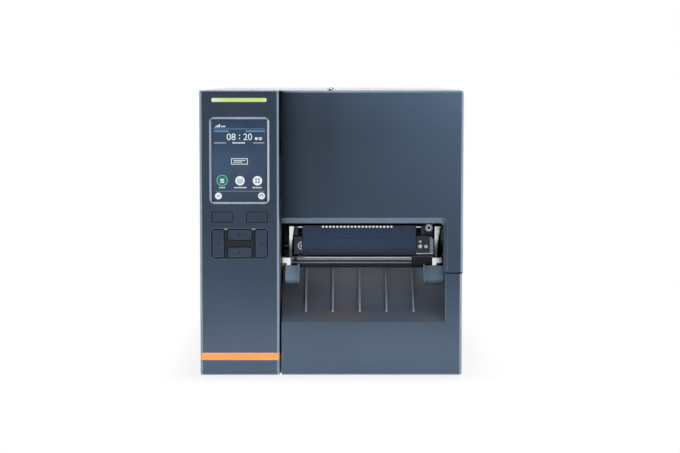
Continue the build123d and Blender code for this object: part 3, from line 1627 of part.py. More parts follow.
def guard_left():
    return bay_left + label_spindle_length - guard_rest_gap - guard_hub_length


# Electronics

def supply_unit_bounds():
    x0 = left + wall + supply_unit_from_left
    x1 = wall_left - main_board_gap - board_thickness - socket_height - supply_board_gap
    y1 = rear_inner - supply_unit_from_back
    return x0, x1, y1 - supply_unit_length, y1, bay_floor, bay_floor + supply_unit_height


def make_power_supply():
    """Caged power supply with two rows of vent slots along each long side."""
    x0, x1, y0, y1, z0, z1 = supply_unit_bounds()
    middle = (y0 + y1) / 2
    rows = ((y0 + supply_slot_margin, middle - supply_slot_margin / 2),
            (middle + supply_slot_margin / 2, y1 - supply_slot_margin))
    half = supply_slot_width / 2
    cage = block(x0, x1, y0, y1, z0, z1)
    cage = chamfer(cage.edges().filter_by(Axis.Y), supply_unit_wall)
    pitch = (z1 - z0) / (supply_slot_count + 1)
    for index in range(supply_slot_count):
        z = z0 + (index + 1) * pitch
        for a, b in rows:
            cage -= block(x0 - overrun, x0 + supply_unit_wall, a, b, z - half, z + half)
            cage -= block(x1 - supply_unit_wall, x1 + overrun, a, b, z - half, z + half)
    return cage


def main_board_bounds():
    y1 = rear_inner - rear_lip_length - port_depth - seam
    z0 = bay_floor + main_board_lift
    return y1 - main_board_length, y1, z0, z0 + main_board_height


def make_main_board():
    """Main board beside the centre wall with chips, a finned heat sink and plug sockets."""
    y0, y1, z0, z1 = main_board_bounds()
    x1 = wall_left - main_board_gap
    x0 = x1 - board_thickness
    board = block(x0, x1, y0, y1, z0, z1)
    chip_y = y0 + chip_size
    chip_z = z1 - chip_size
    board += block(x0 - chip_height, x0, chip_y - chip_size / 2, chip_y + chip_size / 2,
                   chip_z - chip_size / 2, chip_z + chip_size / 2)
    for index in range(sink_fin_count):
        y = chip_y - chip_size / 2 + index * (chip_size - board_thickness) / (sink_fin_count - 1)
        board += block(x0 - chip_height - sink_height, x0 - chip_height, y, y + board_thickness,
                       chip_z - chip_size / 2, chip_z + chip_size / 2)
    for index in range(3):
        y = y0 + (index + 2) * (socket_length + socket_height)
        board += block(x0 - socket_height, x0, y, y + socket_length, z0 + socket_height,
                       z0 + 2 * socket_height)
    return board


def make_board_posts():
    y0, y1, z0, z1 = main_board_bounds()
    inset = 2 * boss_radius
    posts = []
    for y in (y0 + inset, y1 - inset):
        for z in (z0 + inset, z1 - inset):
            posts.append(rod_x(wall_left - main_board_gap, wall_left, y, z, boss_radius))
    return group(posts)


# Rear connections

def make_mains_inlet():
    """Mains inlet with its shrouded recess and three blades."""
    x, z = inlet_place()
    body = block(x - inlet_width / 2, x + inlet_width / 2, rear_inner - inlet_depth, back,
                 z - inlet_height / 2, z + inlet_height / 2)
    flange = block(x - inlet_width / 2 - inlet_flange, x + inlet_width / 2 + inlet_flange,
                   rear_inner - inlet_flange_thickness, rear_inner,
                   z - inlet_height / 2 - inlet_flange, z + inlet_height / 2 + inlet_flange)
    body += flange
    recess = rounded(x, z, inlet_recess_width, inlet_recess_height, inlet_recess_corner,
                     back - inlet_recess_depth, back + overrun)
    body -= recess
    floor = back - inlet_recess_depth
    drop = inlet_pin_drop / 2
    for dx, dz in ((-inlet_pin_pitch, -drop), (0, drop), (inlet_pin_pitch, -drop)):
        body += block(x + dx - inlet_pin_thickness / 2, x + dx + inlet_pin_thickness / 2, floor,
                      floor + inlet_pin_length, z + dz - inlet_pin_width / 2, z + dz + inlet_pin_width / 2)
    return body


def make_switch_frame():
    x, z = switch_place()
    frame = block(x - switch_width / 2, x + switch_width / 2, rear_inner - switch_depth, back,
                  z - switch_tall / 2, z + switch_tall / 2)
    frame += block(x - switch_width / 2 - switch_frame, x + switch_width / 2 + switch_frame,
                   rear_inner - switch_frame_thickness, rear_inner,
                   z - switch_tall / 2 - switch_frame, z + switch_tall / 2 + switch_frame)
    inner = switch_frame_thickness
    frame -= block(x - switch_width / 2 + inner, x + switch_width / 2 - inner,
                   rear_inner - switch_depth + inner, back + overrun, z - switch_tall / 2 + inner,
                   z + switch_tall / 2 - inner)
    return frame - rod_x(x - switch_width, x + switch_width, rocker_axis_y(), z,
                         rocker_pin_radius + running_clearance)


def rocker_axis_y():
    return back - rocker_set


def make_power_rocker():
    """Rocker with two sloped faces, on a pin across its frame."""
    x, z = switch_place()
    wide = switch_width / 2 - switch_frame_thickness - rocker_clearance
    tall = switch_tall / 2 - switch_frame_thickness - 2 * rocker_clearance - 2 * seam
    y = rocker_axis_y()
    slope = tall * sin(radians(rocker_angle)) / cos(radians(rocker_angle))
    crown = back - rocker_sink
    points = [(y - rocker_pin_radius - wall / 2, z - tall / 2), (crown - slope, z - tall), (crown, z),
              (crown + slope, z + tall), (y - rocker_pin_radius - wall / 2, z + tall / 2)]
    rocker = side_profile(points, x - wide, x + wide)
    return rocker + rod_x(x - switch_width / 2, x + switch_width / 2, y, z, rocker_pin_radius)


def make_data_ports():
    """Serial, network and USB sockets on the rear edge of the main board."""
    pieces = []
    for index, (x, z, wide, tall) in enumerate(port_places()):
        y0 = rear_inner - port_depth
        shell = block(x - wide / 2, x + wide / 2, y0, back, z - tall / 2, z + tall / 2)
        shell -= block(x - wide / 2 + port_wall, x + wide / 2 - port_wall, y0 + port_wall, back + overrun,
                       z - tall / 2 + port_wall, z + tall / 2 - port_wall)
        if index != 1:
            core = tongue_thickness / 2
            reach = tall / 2 - 2 * port_wall
            shell += block(x - core, x + core, y0, back - port_depth / 3, z - reach, z + reach)
        flange = block(x - wide / 2 - port_wall, x + wide / 2 + port_wall, rear_inner - port_wall,
                       rear_inner, z - tall / 2 - port_wall, z + tall / 2 + port_wall)
        hollow = block(x - wide / 2, x + wide / 2, rear_inner - port_wall - seam, rear_inner + seam,
                       z - tall / 2, z + tall / 2)
        pieces.append(shell + (flange - hollow))
    return group(pieces)


# Screws

def screw_places():
    """Upper and lower screws at both edges of the rear panel and on the centre wall."""
    inset = screw_from_edge + screw_radius
    xs = (left + inset, wall_left + centre_wall_thickness / 2, right - inset)
    return [(x, z) for x in xs for z in (case_bottom + inset, case_top - inset)]


def make_case_screws():
    """Slotted screws, sunk flush in the rear panel."""
    pieces = []
    for x, z in screw_places():
        head = rod_y(x, back - screw_sink, back, z, screw_radius)
        slot = block(x - screw_radius, x + screw_radius, back - screw_slot, back + overrun,
                     z - screw_slot / 2, z + screw_slot / 2)
        pieces.append(head - slot)
    return group(pieces)


def cut_screw_seats(panel):
    for x, z in screw_places():
        panel -= rod_y(x, back - screw_sink, back + overrun, z, screw_radius)
    return panel


def keys():
    """The six keys; the four on the pad carry an arrow."""
    angles = {"key_left": 60, "key_right": 0, "key_up": 30, "key_down": -30}
    made = {}
    for node, (x, z, wide, tall, corner) in key_places().items():
        made[node] = make_key(x, z, wide, tall, corner, angles.get(node))
    return made


def main():
    os.makedirs("parts", exist_ok=True)
    save("control_bezel", make_control_bezel())
    save("accent_band", make_accent_band())
    save("status_light", make_status_light())
    save("display_frame", make_display_frame())
    save("display_glass", make_display_glass())
    save("display_panel", make_display_panel())
    save("keypad_board", make_keypad_board())
    for node, key in keys().items():
        save(node, key)
    save("base_tray", make_base_tray())
    save("feet", make_feet())
    save("centre_wall", make_centre_wall())
    save("left_cover", make_left_cover())
    save("lower_side_panel", make_lower_side_panel())
    save("lower_front_panel", make_lower_front_panel())
    save("rear_panel", cut_screw_seats(make_rear_panel()))
    save("case_screws", make_case_screws())
    save("door_shell", make_door_shell())
    save("door_window", make_door_window())
    save("fixed_hinge_leaf", group([hinge_leaf(-1, 0), make_hinge_pins()]))
    save("door_hinge_leaf", hinge_leaf(1, 1))
    save("side_plates", group([make_side_plate(left_plate, left_plate_in, plate_flange_width),
                               make_side_plate(right_plate_in, right_plate, right_flange_width)]))
    save("label_deck", make_deck())
    save("wall_spacers", group([make_wall_spacers(), make_board_posts()]))
    save("tear_bar", group([make_tear_bar(), make_tear_bar_support()]))
    save("platen_latches", make_platen_latches())
    save("chute_guides", make_chute_guides())
    save("platen_shaft", make_platen_shaft())
    save("platen_rubber", make_platen_rubber())
    save("platen_gear", make_platen_gear())
    save("idler_gear", make_idler_gear())
    save("motor_pinion", make_motor_pinion())
    save("motor_bracket", make_motor_bracket())
    save("feed_motor", make_feed_motor())
    save("shaft_bearings", make_shaft_bearings())
    save("head_carriage", make_head_carriage())
    save("frame_rods", group([make_pivot_shaft(), make_guide_rail()]))
    save("print_head", make_print_head())
    save("head_cover", make_head_cover())
    save("ribbon_bar", make_ribbon_bar())
    save("pressure_knob", make_pressure_knob())
    save("head_lever", make_head_lever())
    save("cam_shaft", make_cam_shaft())
    save("media_guide", make_media_guide())
    save("media_sensor", make_media_sensor())
    save("media_damper", make_media_damper())
    save("supply_spindle", make_ribbon_spindle(supply_y, supply_z, brake_length - seam))
    save("rewind_spindle", make_ribbon_spindle(rewind_y, rewind_z, brake_length - seam))
    save("ribbon_drives", group([make_supply_brake(), make_rewind_motor()]))
    save("label_spindle", make_label_spindle())
    save("label_guard", make_label_guard())
    save("power_supply", make_power_supply())
    save("main_board", make_main_board())
    save("mains_inlet", group([make_mains_inlet(), make_switch_frame()]))
    save("power_rocker", make_power_rocker())
    save("data_ports", make_data_ports())


main()
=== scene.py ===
import bmesh
import bpy
import json
import math
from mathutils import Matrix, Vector


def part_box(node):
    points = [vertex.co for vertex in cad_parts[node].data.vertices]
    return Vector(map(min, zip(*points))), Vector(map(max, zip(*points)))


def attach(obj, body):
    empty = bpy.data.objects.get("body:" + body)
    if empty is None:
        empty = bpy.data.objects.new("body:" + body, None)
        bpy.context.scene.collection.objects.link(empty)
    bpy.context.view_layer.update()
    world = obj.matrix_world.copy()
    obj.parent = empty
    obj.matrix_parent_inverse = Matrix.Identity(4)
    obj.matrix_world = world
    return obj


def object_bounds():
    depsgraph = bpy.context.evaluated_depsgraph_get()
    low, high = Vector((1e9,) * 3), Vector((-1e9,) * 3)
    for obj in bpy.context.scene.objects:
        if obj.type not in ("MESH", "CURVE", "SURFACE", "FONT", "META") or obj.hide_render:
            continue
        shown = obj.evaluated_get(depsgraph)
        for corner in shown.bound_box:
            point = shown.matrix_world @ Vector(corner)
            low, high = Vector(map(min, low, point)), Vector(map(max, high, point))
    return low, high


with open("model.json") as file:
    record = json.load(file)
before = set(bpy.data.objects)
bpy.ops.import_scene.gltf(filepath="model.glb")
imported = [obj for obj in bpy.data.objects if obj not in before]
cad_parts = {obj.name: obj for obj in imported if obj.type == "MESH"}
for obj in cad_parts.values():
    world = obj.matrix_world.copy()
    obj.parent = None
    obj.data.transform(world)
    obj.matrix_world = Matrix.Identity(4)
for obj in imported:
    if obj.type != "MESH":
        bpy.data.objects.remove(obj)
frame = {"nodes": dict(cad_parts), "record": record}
cad_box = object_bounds()

MM = 0.001
CAD = {part["node"]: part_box(part["node"]) for part in frame["record"]["subparts"]}


# Camera

def make_camera():
    """Level view of the front from a little above, at the photograph's distance."""
    target = Vector((0.008, -0.218, 0.145))
    distance = 1.83
    elevation = math.radians(4.4)
    data = bpy.data.cameras.new("camera")
    data.sensor_width = 36
    data.lens = 103
    camera = bpy.data.objects.new("camera", data)
    back = Vector((0, -math.cos(elevation), math.sin(elevation)))
    camera.location = target + distance * back
    camera.rotation_mode = "QUATERNION"
    camera.rotation_quaternion = (-back).to_track_quat("-Z", "Y")
    bpy.context.scene.collection.objects.link(camera)
    bpy.context.scene.camera = camera


# Finishes: what they share

def add(tree, kind, out=0, inputs=None, **settings):
    """Add a node, set its properties, give each input a value or a link, and return one of its outputs."""
    node = tree.nodes.new("ShaderNode" + kind)
    for key, value in settings.items():
        setattr(node, key, value)
    for key, value in (inputs or {}).items():
        if isinstance(value, bpy.types.NodeSocket):
            tree.links.new(value, node.inputs[key])
        else:
            node.inputs[key].default_value = value
    return node.outputs[out] if node.outputs else None


def colour(code):
    """Six sRGB hex digits as linear light."""
    levels = [int(code[start:start + 2], 16) / 255 for start in (0, 2, 4)]
    return tuple(level / 12.92 if level <= 0.04045 else ((level + 0.055) / 1.055) ** 2.4
                 for level in levels) + (1.0,)


def clouds(tree, size_mm, low=0.0, high=1.0, stretch=(1, 1, 1)):
    """Soft patches of about size_mm that run from low to high; stretch shortens them along an axis."""
    spot = add(tree, "Mapping", 0, {"Vector": add(tree, "TexCoord", "Object"), "Scale": stretch})
    noise = add(tree, "TexNoise", "Fac", {"Vector": spot, "Scale": 1 / (size_mm * MM), "Detail": 2.0})
    return add(tree, "MapRange", 0, {"Value": noise, "From Min": 0.3, "From Max": 0.7, "To Min": low,
                                     "To Max": high}, interpolation_type="SMOOTHSTEP")


def along(tree, axis, start, end):
    """0 before start and 1 past end, by a point's place along one axis of the object, in metres."""
    spot = add(tree, "SeparateXYZ", axis, {0: add(tree, "TexCoord", "Object")})
    return add(tree, "MapRange", 0, {"Value": spot, "From Min": start, "From Max": end})


def span(tree, axis, low, high, soft=0.1 * MM):
    """1 between low and high along one axis of the object."""
    return add(tree, "Math", 0, {0: along(tree, axis, low - soft, low + soft),
                                 1: along(tree, axis, high + soft, high - soft)}, operation="MULTIPLY")


def turned(tree, axis, start, end):
    """0 to 1 as the surface turns, by how far it faces along one axis of the object."""
    face = add(tree, "SeparateXYZ", axis, {0: add(tree, "TexCoord", "Normal")})
    return add(tree, "MapRange", 0, {"Value": face, "From Min": start, "From Max": end})


def wear_and_highlight_edges(tree, width_mm, share):
    """Up to share along the sharp edges, for wear and a painted highlight, and 0 on the flats."""
    soft = add(tree, "Bevel", 0, {"Radius": width_mm * MM}, samples=4)
    same = add(tree, "VectorMath", "Value", {0: soft, 1: add(tree, "NewGeometry", "Normal")},
               operation="DOT_PRODUCT")
    return add(tree, "MapRange", 0, {"Value": same, "From Min": 0.995, "From Max": 0.85, "To Max": share})


def highlight_rounds(tree, low, high):
    """Picks the rounds between flat faces that lie along the object's axes, for a painted highlight: up to
    low near the table and up to high towards the top."""
    share = add(tree, "MapRange", 0, {"Value": along(tree, "Z", 30 * MM, 150 * MM), "To Min": low,
                                      "To Max": high})
    face = add(tree, "VectorMath", 0, {0: add(tree, "TexCoord", "Normal")}, operation="ABSOLUTE")
    most = add(tree, "Math", 0, {0: add(tree, "SeparateXYZ", "X", {0: face}),
                                 1: add(tree, "SeparateXYZ", "Y", {0: face})}, operation="MAXIMUM")
    most = add(tree, "Math", 0, {0: most, 1: add(tree, "SeparateXYZ", "Z", {0: face})},
               operation="MAXIMUM")
    return add(tree, "MapRange", 0, {"Value": most, "From Min": 0.995, "From Max": 0.93, "To Max": share})


def surface(tree, shade, second, cloud_mm, grain_mm, gloss, depth_mm, edge=None, edge_mm=0.5, edge_share=0.3,
            stretch=(1, 1, 1)):
    """The base of most finishes. Its colour drifts between two shades in clouds and turns to a third along
    its edges, for wear and a painted highlight; gloss, as lowest and highest roughness, and height follow
    one grain. The real grain of spark erosion, blasting or grinding is too fine to show, so it is drawn at
    0.5 to 1 mm."""
    speck = clouds(tree, grain_mm, stretch=stretch)
    base = add(tree, "Mix", 2, {0: clouds(tree, cloud_mm, stretch=stretch), 6: colour(shade),
                                7: colour(second)}, data_type="RGBA")
    if edge:
        base = add(tree, "Mix", 2, {0: wear_and_highlight_edges(tree, edge_mm, edge_share), 6: base, 7: colour(edge)},
                   data_type="RGBA")
    rough = add(tree, "MapRange", 0, {"Value": speck, "To Min": gloss[0], "To Max": gloss[1]})
    rounded = add(tree, "Bevel", 0, {"Radius": 0.6 * edge_mm * MM}, samples=4)
    dents = add(tree, "Bump", 0, {"Height": speck, "Distance": depth_mm * MM, "Strength": 0.5,
                                  "Normal": rounded})
    return {"Base Color": base, "Roughness": rough, "Normal": dents}


def laid_over(tree, looks, shade, *places, rough=None):
    """A finish with another shade, and another roughness, where all of places overlap. The shade is a hex
    value or a node's colour; a place is a node's value from 0 to 1, or a plain share."""
    share = places[0]
    for place in places[1:]:
        share = add(tree, "Math", 0, {0: share, 1: place}, operation="MULTIPLY")
    over = colour(shade) if isinstance(shade, str) else shade
    looks["Base Color"] = add(tree, "Mix", 2, {0: share, 6: looks["Base Color"], 7: over}, data_type="RGBA")
    if rough is not None:
        looks["Roughness"] = add(tree, "Mix", 0, {0: share, 2: looks["Roughness"], 3: rough})
    return looks


def finish(name, make, *given):
    """A material whose shader takes what make gives for its inputs."""
    material = bpy.data.materials.new(name)
    material.use_nodes = True
    tree = material.node_tree
    tree.nodes.clear()
    shader = add(tree, "BsdfPrincipled", 0, make(tree, *given))
    add(tree, "OutputMaterial", 0, {"Surface": shader})
    return material


# Finishes: the case

SLATE = "324459"
SLATE_CLOUD = "35475D"
# Pale shade of the painted highlight on the case's edges and rounds
SLATE_HIGHLIGHT = "B4C4D8"
# Dark shade of the painted shade line in the joint under the door
JOINT_SHADE_LINE = "0E151E"
JOINT_SHADE = "0C1219"
NOTCH_TOP = 154 * MM
NOTCH_RIGHT = 110 * MM
CHUTE_FOOT = 54.8 * MM
CHUTE_RIGHT = CAD["chute_guides"][1].x


def slate(tree, grain_mm, gloss):
    """The case's colour, on paint and moulding alike, with a painted highlight at its edges and on its
    rounds.
    """
    looks = surface(tree, SLATE, SLATE_CLOUD, 40.0, grain_mm, gloss, 0.02, SLATE_HIGHLIGHT, 1.0, 0.5)
    return laid_over(tree, looks, SLATE_HIGHLIGHT, highlight_rounds(tree, 0.3, 0.9))


def powder_coat(tree):
    """Satin slate powder coat on steel. Its orange peel, drawn at 0.8 mm so that it shows, softens the
    highlight, and a painted highlight pales its edges."""
    return slate(tree, 0.8, (0.38, 0.48))


def bare_moulding(tree):
    """Front moulding of spark-eroded ABS, a little smoother than the paint."""
    return slate(tree, 0.6, (0.38, 0.5))


def with_joint_shade_line(tree, looks):
    """Painted shade in the joint between the door and the lower panels, a thin dark line from outside."""
    low = CAD["lower_side_panel"][1].z - 0.4 * MM
    high = CAD["door_shell"][0].z + 0.7 * MM
    return laid_over(tree, looks, JOINT_SHADE_LINE, span(tree, "Z", low, high, 0.2 * MM),
                     along(tree, "X", CHUTE_RIGHT + 0.3 * MM, CHUTE_RIGHT + 0.7 * MM))


def side_panel_coat(tree):
    """The lower side panel's coat, with the painted shade line along the door's edge."""
    return with_joint_shade_line(tree, powder_coat(tree))


def door_coat(tree):
    """The door's coat. The bevel round its notch has a painted highlight of its own, paler along the top and
    darker at its side. Painted light pales its front towards the top and the right, painted shade darkens
    it and dulls its gloss beside the bezel, and its face in that joint is painted in shade."""
    looks = powder_coat(tree)
    # Painted highlight on the bevel round the notch, paler along the top and darker at its side.
    shade = add(tree, "Mix", 2, {0: along(tree, "X", NOTCH_RIGHT - 7 * MM, NOTCH_RIGHT - 4 * MM),
                                 6: colour("7A8DA0"), 7: colour("4F5F6F")}, data_type="RGBA")
    looks = laid_over(tree, looks, shade, highlight_rounds(tree, 1.0, 1.0),
                      along(tree, "Z", NOTCH_TOP, NOTCH_TOP - 0.5 * MM),
                      along(tree, "X", NOTCH_RIGHT, NOTCH_RIGHT - 0.5 * MM))
    low, high = CAD["door_shell"]
    front = turned(tree, "Y", -0.5, -0.9)
    # Painted light that pales the front towards the top and the right.
    lit_top_right = add(tree, "Math", 0, {0: along(tree, "Z", 120 * MM, high.z),
                                   1: along(tree, "X", low.x + 45 * MM, high.x)}, operation="MULTIPLY")
    lit_crown = add(tree, "Math", 0, {0: along(tree, "Z", high.z - 40 * MM, high.z), 1: 0.14},
                operation="MULTIPLY")
    pale = add(tree, "Math", 0, {0: lit_top_right, 1: 0.6, 2: lit_crown}, operation="MULTIPLY_ADD")
    looks = laid_over(tree, looks, "6D86A6", pale, front)
    # Painted shade beside the bezel, with duller gloss there.
    for reach_mm, most in ((6, 0.9), (16, 0.55), (60, 0.45)):
        looks = laid_over(tree, looks, "10171E", along(tree, "X", low.x + reach_mm * MM, low.x), most, front)
    bezel_shade = add(tree, "Math", 0, {0: along(tree, "X", low.x + 25 * MM, low.x), 1: front},
               operation="MULTIPLY")
    looks["Specular IOR Level"] = add(tree, "MapRange", 0, {"Value": bezel_shade, "To Min": 0.5, "To Max": 0.1})
    looks = with_joint_shade_line(tree, looks)
    return laid_over(tree, looks, JOINT_SHADE, turned(tree, "X", -0.9, -0.98))


def over_slope(tree, start, end):
    """0 before start and 1 past end, by a point's height over the plane of the chute's slope."""
    low, high = CAD["lower_front_panel"]
    out = Vector((0, CHUTE_FOOT - high.z, high.y - low.y)).normalized()
    level = out.dot(Vector((0, low.y, CHUTE_FOOT)))
    height = add(tree, "VectorMath", "Value", {0: add(tree, "TexCoord", "Object"), 1: out},
                 operation="DOT_PRODUCT")
    return add(tree, "MapRange", 0, {"Value": height, "From Min": level + start, "From Max": level + end})


def moulded_front(tree):
    """The lower front's moulding. Labels have polished the chute's slope and left it cooler and browner in
    patches; painted shade darkens its left, painted light pales it towards the tear bar, and its ribs carry
    a painted highlight on their tops."""
    looks = with_joint_shade_line(tree, bare_moulding(tree))
    low, high = CAD["lower_front_panel"]
    looks = laid_over(tree, looks, SLATE, span(tree, "Z", CHUTE_FOOT - 2 * MM, CHUTE_FOOT + MM),
                      span(tree, "X", low.x, CHUTE_RIGHT + MM))
    patches = clouds(tree, 45.0, stretch=(1, 1, 0.6))
    chute = {"Base Color": add(tree, "Mix", 2, {0: patches, 6: colour("455265"), 7: colour("55545A")},
                               data_type="RGBA")}
    # Painted light, paler towards the tear bar, over the shade under it.
    chute = laid_over(tree, chute, "9096A1", along(tree, "Z", CHUTE_FOOT + 10 * MM, high.z))
    # Painted shade at the chute's left.
    chute = laid_over(tree, chute, "25262C", along(tree, "X", 10 * MM, low.x),
                      along(tree, "Z", CHUTE_FOOT, CHUTE_FOOT + 25 * MM), 0.75)
    # Painted highlight on the tops of the ribs.
    chute = laid_over(tree, chute, "989DA6", over_slope(tree, 1.2 * MM, 1.9 * MM))
    return laid_over(tree, looks, chute["Base Color"], over_slope(tree, -0.3 * MM, -0.1 * MM),
                     span(tree, "X", low.x - MM, CHUTE_RIGHT), turned(tree, "Z", 0.05, 0.15),
                     along(tree, "Z", CHUTE_FOOT - 0.1 * MM, CHUTE_FOOT + MM), rough=0.42)


def framed(tree, low, high, grow_mm, corner_mm):
    """1 inside an oblong with round corners seen from the front: the box from low to high, grown."""
    corner = Vector((1, 0, 1)) * corner_mm * MM
    inner = (high - low) / 2 + Vector((1, 0, 1)) * grow_mm * MM - corner
    spot = add(tree, "VectorMath", 0, {0: add(tree, "TexCoord", "Object"), 1: (low + high) / 2},
               operation="SUBTRACT")
    spot = add(tree, "VectorMath", 0, {0: spot}, operation="ABSOLUTE")
    spot = add(tree, "VectorMath", 0, {0: spot, 1: (inner.x, 1.0, inner.z)}, operation="SUBTRACT")
    spot = add(tree, "VectorMath", 0, {0: spot, 1: (0, 0, 0)}, operation="MAXIMUM")
    reach = add(tree, "VectorMath", "Value", {0: spot}, operation="LENGTH")
    return add(tree, "MapRange", 0, {"Value": reach, "From Min": corner_mm * MM,
                                     "From Max": (corner_mm - 0.2) * MM})


def moulded_bezel(tree):
    """The bezel's moulding. Painted shade darkens the frames round its keys, two ribs between the arrow keys
    carry a painted highlight at their tops, and its face in the joint to the door stays in shade."""
    looks = bare_moulding(tree)
    # Painted shade round the soft keys.
    for key in ("soft_key_left", "soft_key_right"):
        looks = laid_over(tree, looks, "1A2533", framed(tree, *CAD[key], 0.0, 2.0))
    low = CAD["key_left"][0]
    high = CAD["key_right"][1]
    # Painted shade in the pocket between the arrow keys.
    looks = laid_over(tree, looks, "111C2A", framed(tree, low, high, 0.4, 4.0))
    reach = 0.9 * MM
    # Painted highlight on the tops of the ribs between the arrow keys.
    for left, right in (("key_left", "key_up"), ("key_up", "key_right")):
        looks = laid_over(tree, looks, "A9B7C8",
                          span(tree, "X", CAD[left][1].x - reach, CAD[right][0].x + reach),
                          span(tree, "Z", high.z - reach, high.z + 0.4 * MM))
    return laid_over(tree, looks, JOINT_SHADE, turned(tree, "X", 0.9, 0.98))


# Finishes: plastic, glass and rubber

def moulded_keys(tree):
    """Key caps of the bezel's moulding, rubbed smoother by fingers; the sunk arrows are filled dark."""
    looks = surface(tree, "2E3D53", "314158", 12.0, 0.6, (0.34, 0.44), 0.02, "7C8DA3", 0.6, 0.5)
    front = CAD["key_up"][0].y
    return laid_over(tree, looks, "0B0F14", along(tree, "Y", front + 0.1 * MM, front + 0.2 * MM),
                     turned(tree, "Y", -0.97, -0.99))


def orange_moulding(tree):
    """Through-coloured orange ABS: even and satin."""
    return surface(tree, "DA8030", "DE8636", 15.0, 0.6, (0.4, 0.5), 0.02, "F2B067", 0.5, 0.3)


def black_moulding(tree, shade="202225", second="25282B", edge="5A5F65"):
    """Dark glass-filled nylon or ABS, spark eroded: satin, slightly greyer on its edges."""
    return surface(tree, shade, second, 12.0, 0.6, (0.38, 0.5), 0.02, edge, 0.5, 0.3)


def head_cover_moulding(tree):
    """Deep blue moulded cover, darker towards its foot."""
    low = CAD["head_cover"][0].z
    return laid_over(tree, black_moulding(tree, "2C4465", "2E4769", "56687F"), "0D1118",
                     along(tree, "Z", low + 9 * MM, low + MM), 0.8)


def light_guide(tree):
    """Lit acrylic bar behind a dark rim: lime in the middle, near white at its ends over the lamps."""
    low, high = CAD["status_light"]
    middle = (low.z + high.z) / 2
    ends = add(tree, "Math", 0, {0: along(tree, "X", low.x + 16 * MM, low.x + 2 * MM),
                                 1: along(tree, "X", high.x - 6 * MM, high.x - MM)}, operation="MAXIMUM")
    glow = add(tree, "Mix", 2, {0: ends, 6: colour("D3EE8C"), 7: colour("E9F4CF")}, data_type="RGBA")
    bar = laid_over(tree, {"Base Color": colour("2B3326")}, glow,
                    span(tree, "Z", middle - 1.8 * MM, middle + 1.8 * MM, 0.2 * MM),
                    span(tree, "X", low.x + 0.7 * MM, high.x - 0.7 * MM, 0.2 * MM))
    return {"Base Color": colour("171C12"), "Roughness": clouds(tree, 2.0, 0.2, 0.28),
            "Emission Color": bar["Base Color"], "Emission Strength": 0.88}


def screen_glass(tree):
    """Cover glass over the lit panel: deep blue-grey, a little brighter in its middle."""
    low = CAD["display_glass"][0].z
    fade = add(tree, "Math", 0, {0: along(tree, "Z", low, low + 40 * MM), 1: clouds(tree, 45.0, 0.4, 1.0)},
               operation="MULTIPLY")
    lit = add(tree, "Mix", 2, {0: fade, 6: colour("1D3148"), 7: colour("324B68")}, data_type="RGBA")
    return {"Base Color": colour("06080B"), "Roughness": clouds(tree, 12.0, 0.08, 0.14),
            "Emission Color": lit, "Emission Strength": 1.0}


def screen_ink(tree, shade, second):
    """Lit picture elements, with the slight unevenness of the backlight."""
    glow = add(tree, "Mix", 2, {0: clouds(tree, 3.0), 6: colour(shade), 7: colour(second)},
               data_type="RGBA")
    return {"Base Color": colour("14181D"), "Roughness": 0.3, "Emission Color": glow,
            "Emission Strength": 0.95}


def printed_ink(tree, shade, second):
    """Pad-printed ink, slightly patchy where it is thin."""
    return surface(tree, shade, second, 0.8, 0.8, (0.45, 0.6), 0.01)


def smoked_window(tree):
    """Smoked polycarbonate sheet: dark, clear and glossy, with a faint ripple from extrusion."""
    ripple = clouds(tree, 18.0)
    tone = add(tree, "Mix", 2, {0: ripple, 6: colour("6E8096"), 7: colour("788AA0")}, data_type="RGBA")
    dents = add(tree, "Bump", 0, {"Height": ripple, "Distance": 0.05 * MM, "Strength": 0.2})
    return {"Base Color": tone, "Roughness": clouds(tree, 9.0, 0.02, 0.05), "Normal": dents,
            "Transmission Weight": 1.0, "IOR": 1.58}


def ground_rubber(tree):
    """Black nitrile rubber, ground: matt, with fine rings left by the stone."""
    return surface(tree, "1B1C1E", "232426", 6.0, 0.5, (0.7, 0.85), 0.03, stretch=(6, 1, 1))


def moulded_nylon(tree):
    """Natural nylon, moulded: waxy off-white, cloudy with grease near the teeth."""
    looks = surface(tree, "D9D5C6", "C9C4B2", 5.0, 1.0, (0.35, 0.5), 0.02, "E9E6DA", 0.3, 0.4)
    looks["Subsurface Weight"] = 0.1
    looks["Subsurface Radius"] = (MM, MM, MM)
    return looks


def circuit_board(tree, board):
    """Glass-epoxy board under green solder mask, its tracks a shade paler. The key board faces the front,
    the main board the side, and what stands off the main board is black plastic."""
    faces_front = board == "keypad_board"
    quarter = math.radians(90)
    turn = (quarter, 0, 0) if faces_front else (0, quarter, 0)
    spot = add(tree, "Mapping", 0, {"Vector": add(tree, "TexCoord", "Object"), "Rotation": turn})
    tracks = add(tree, "TexBrick", "Color", {"Vector": spot, "Scale": 1 / (9 * MM), "Mortar Size": 0.03,
                                             "Color1": colour("0E5A33"), "Color2": colour("0B4F2C"),
                                             "Mortar": colour("2A7A4E")})
    looks = {"Base Color": tracks, "Roughness": clouds(tree, 2.0, 0.3, 0.42)}
    if faces_front:
        return looks
    board_thickness = 1.6 * MM
    face = CAD[board][1].x - board_thickness
    return laid_over(tree, looks, "1C1D1F", along(tree, "X", face - 0.1 * MM, face - 0.2 * MM), rough=0.5)


# Finishes: metal

def metallic(looks, share=1.0):
    """Bare metal, or with less than 1 a metal under a coat or oxide that hides part of it."""
    looks["Metallic"] = share
    return looks


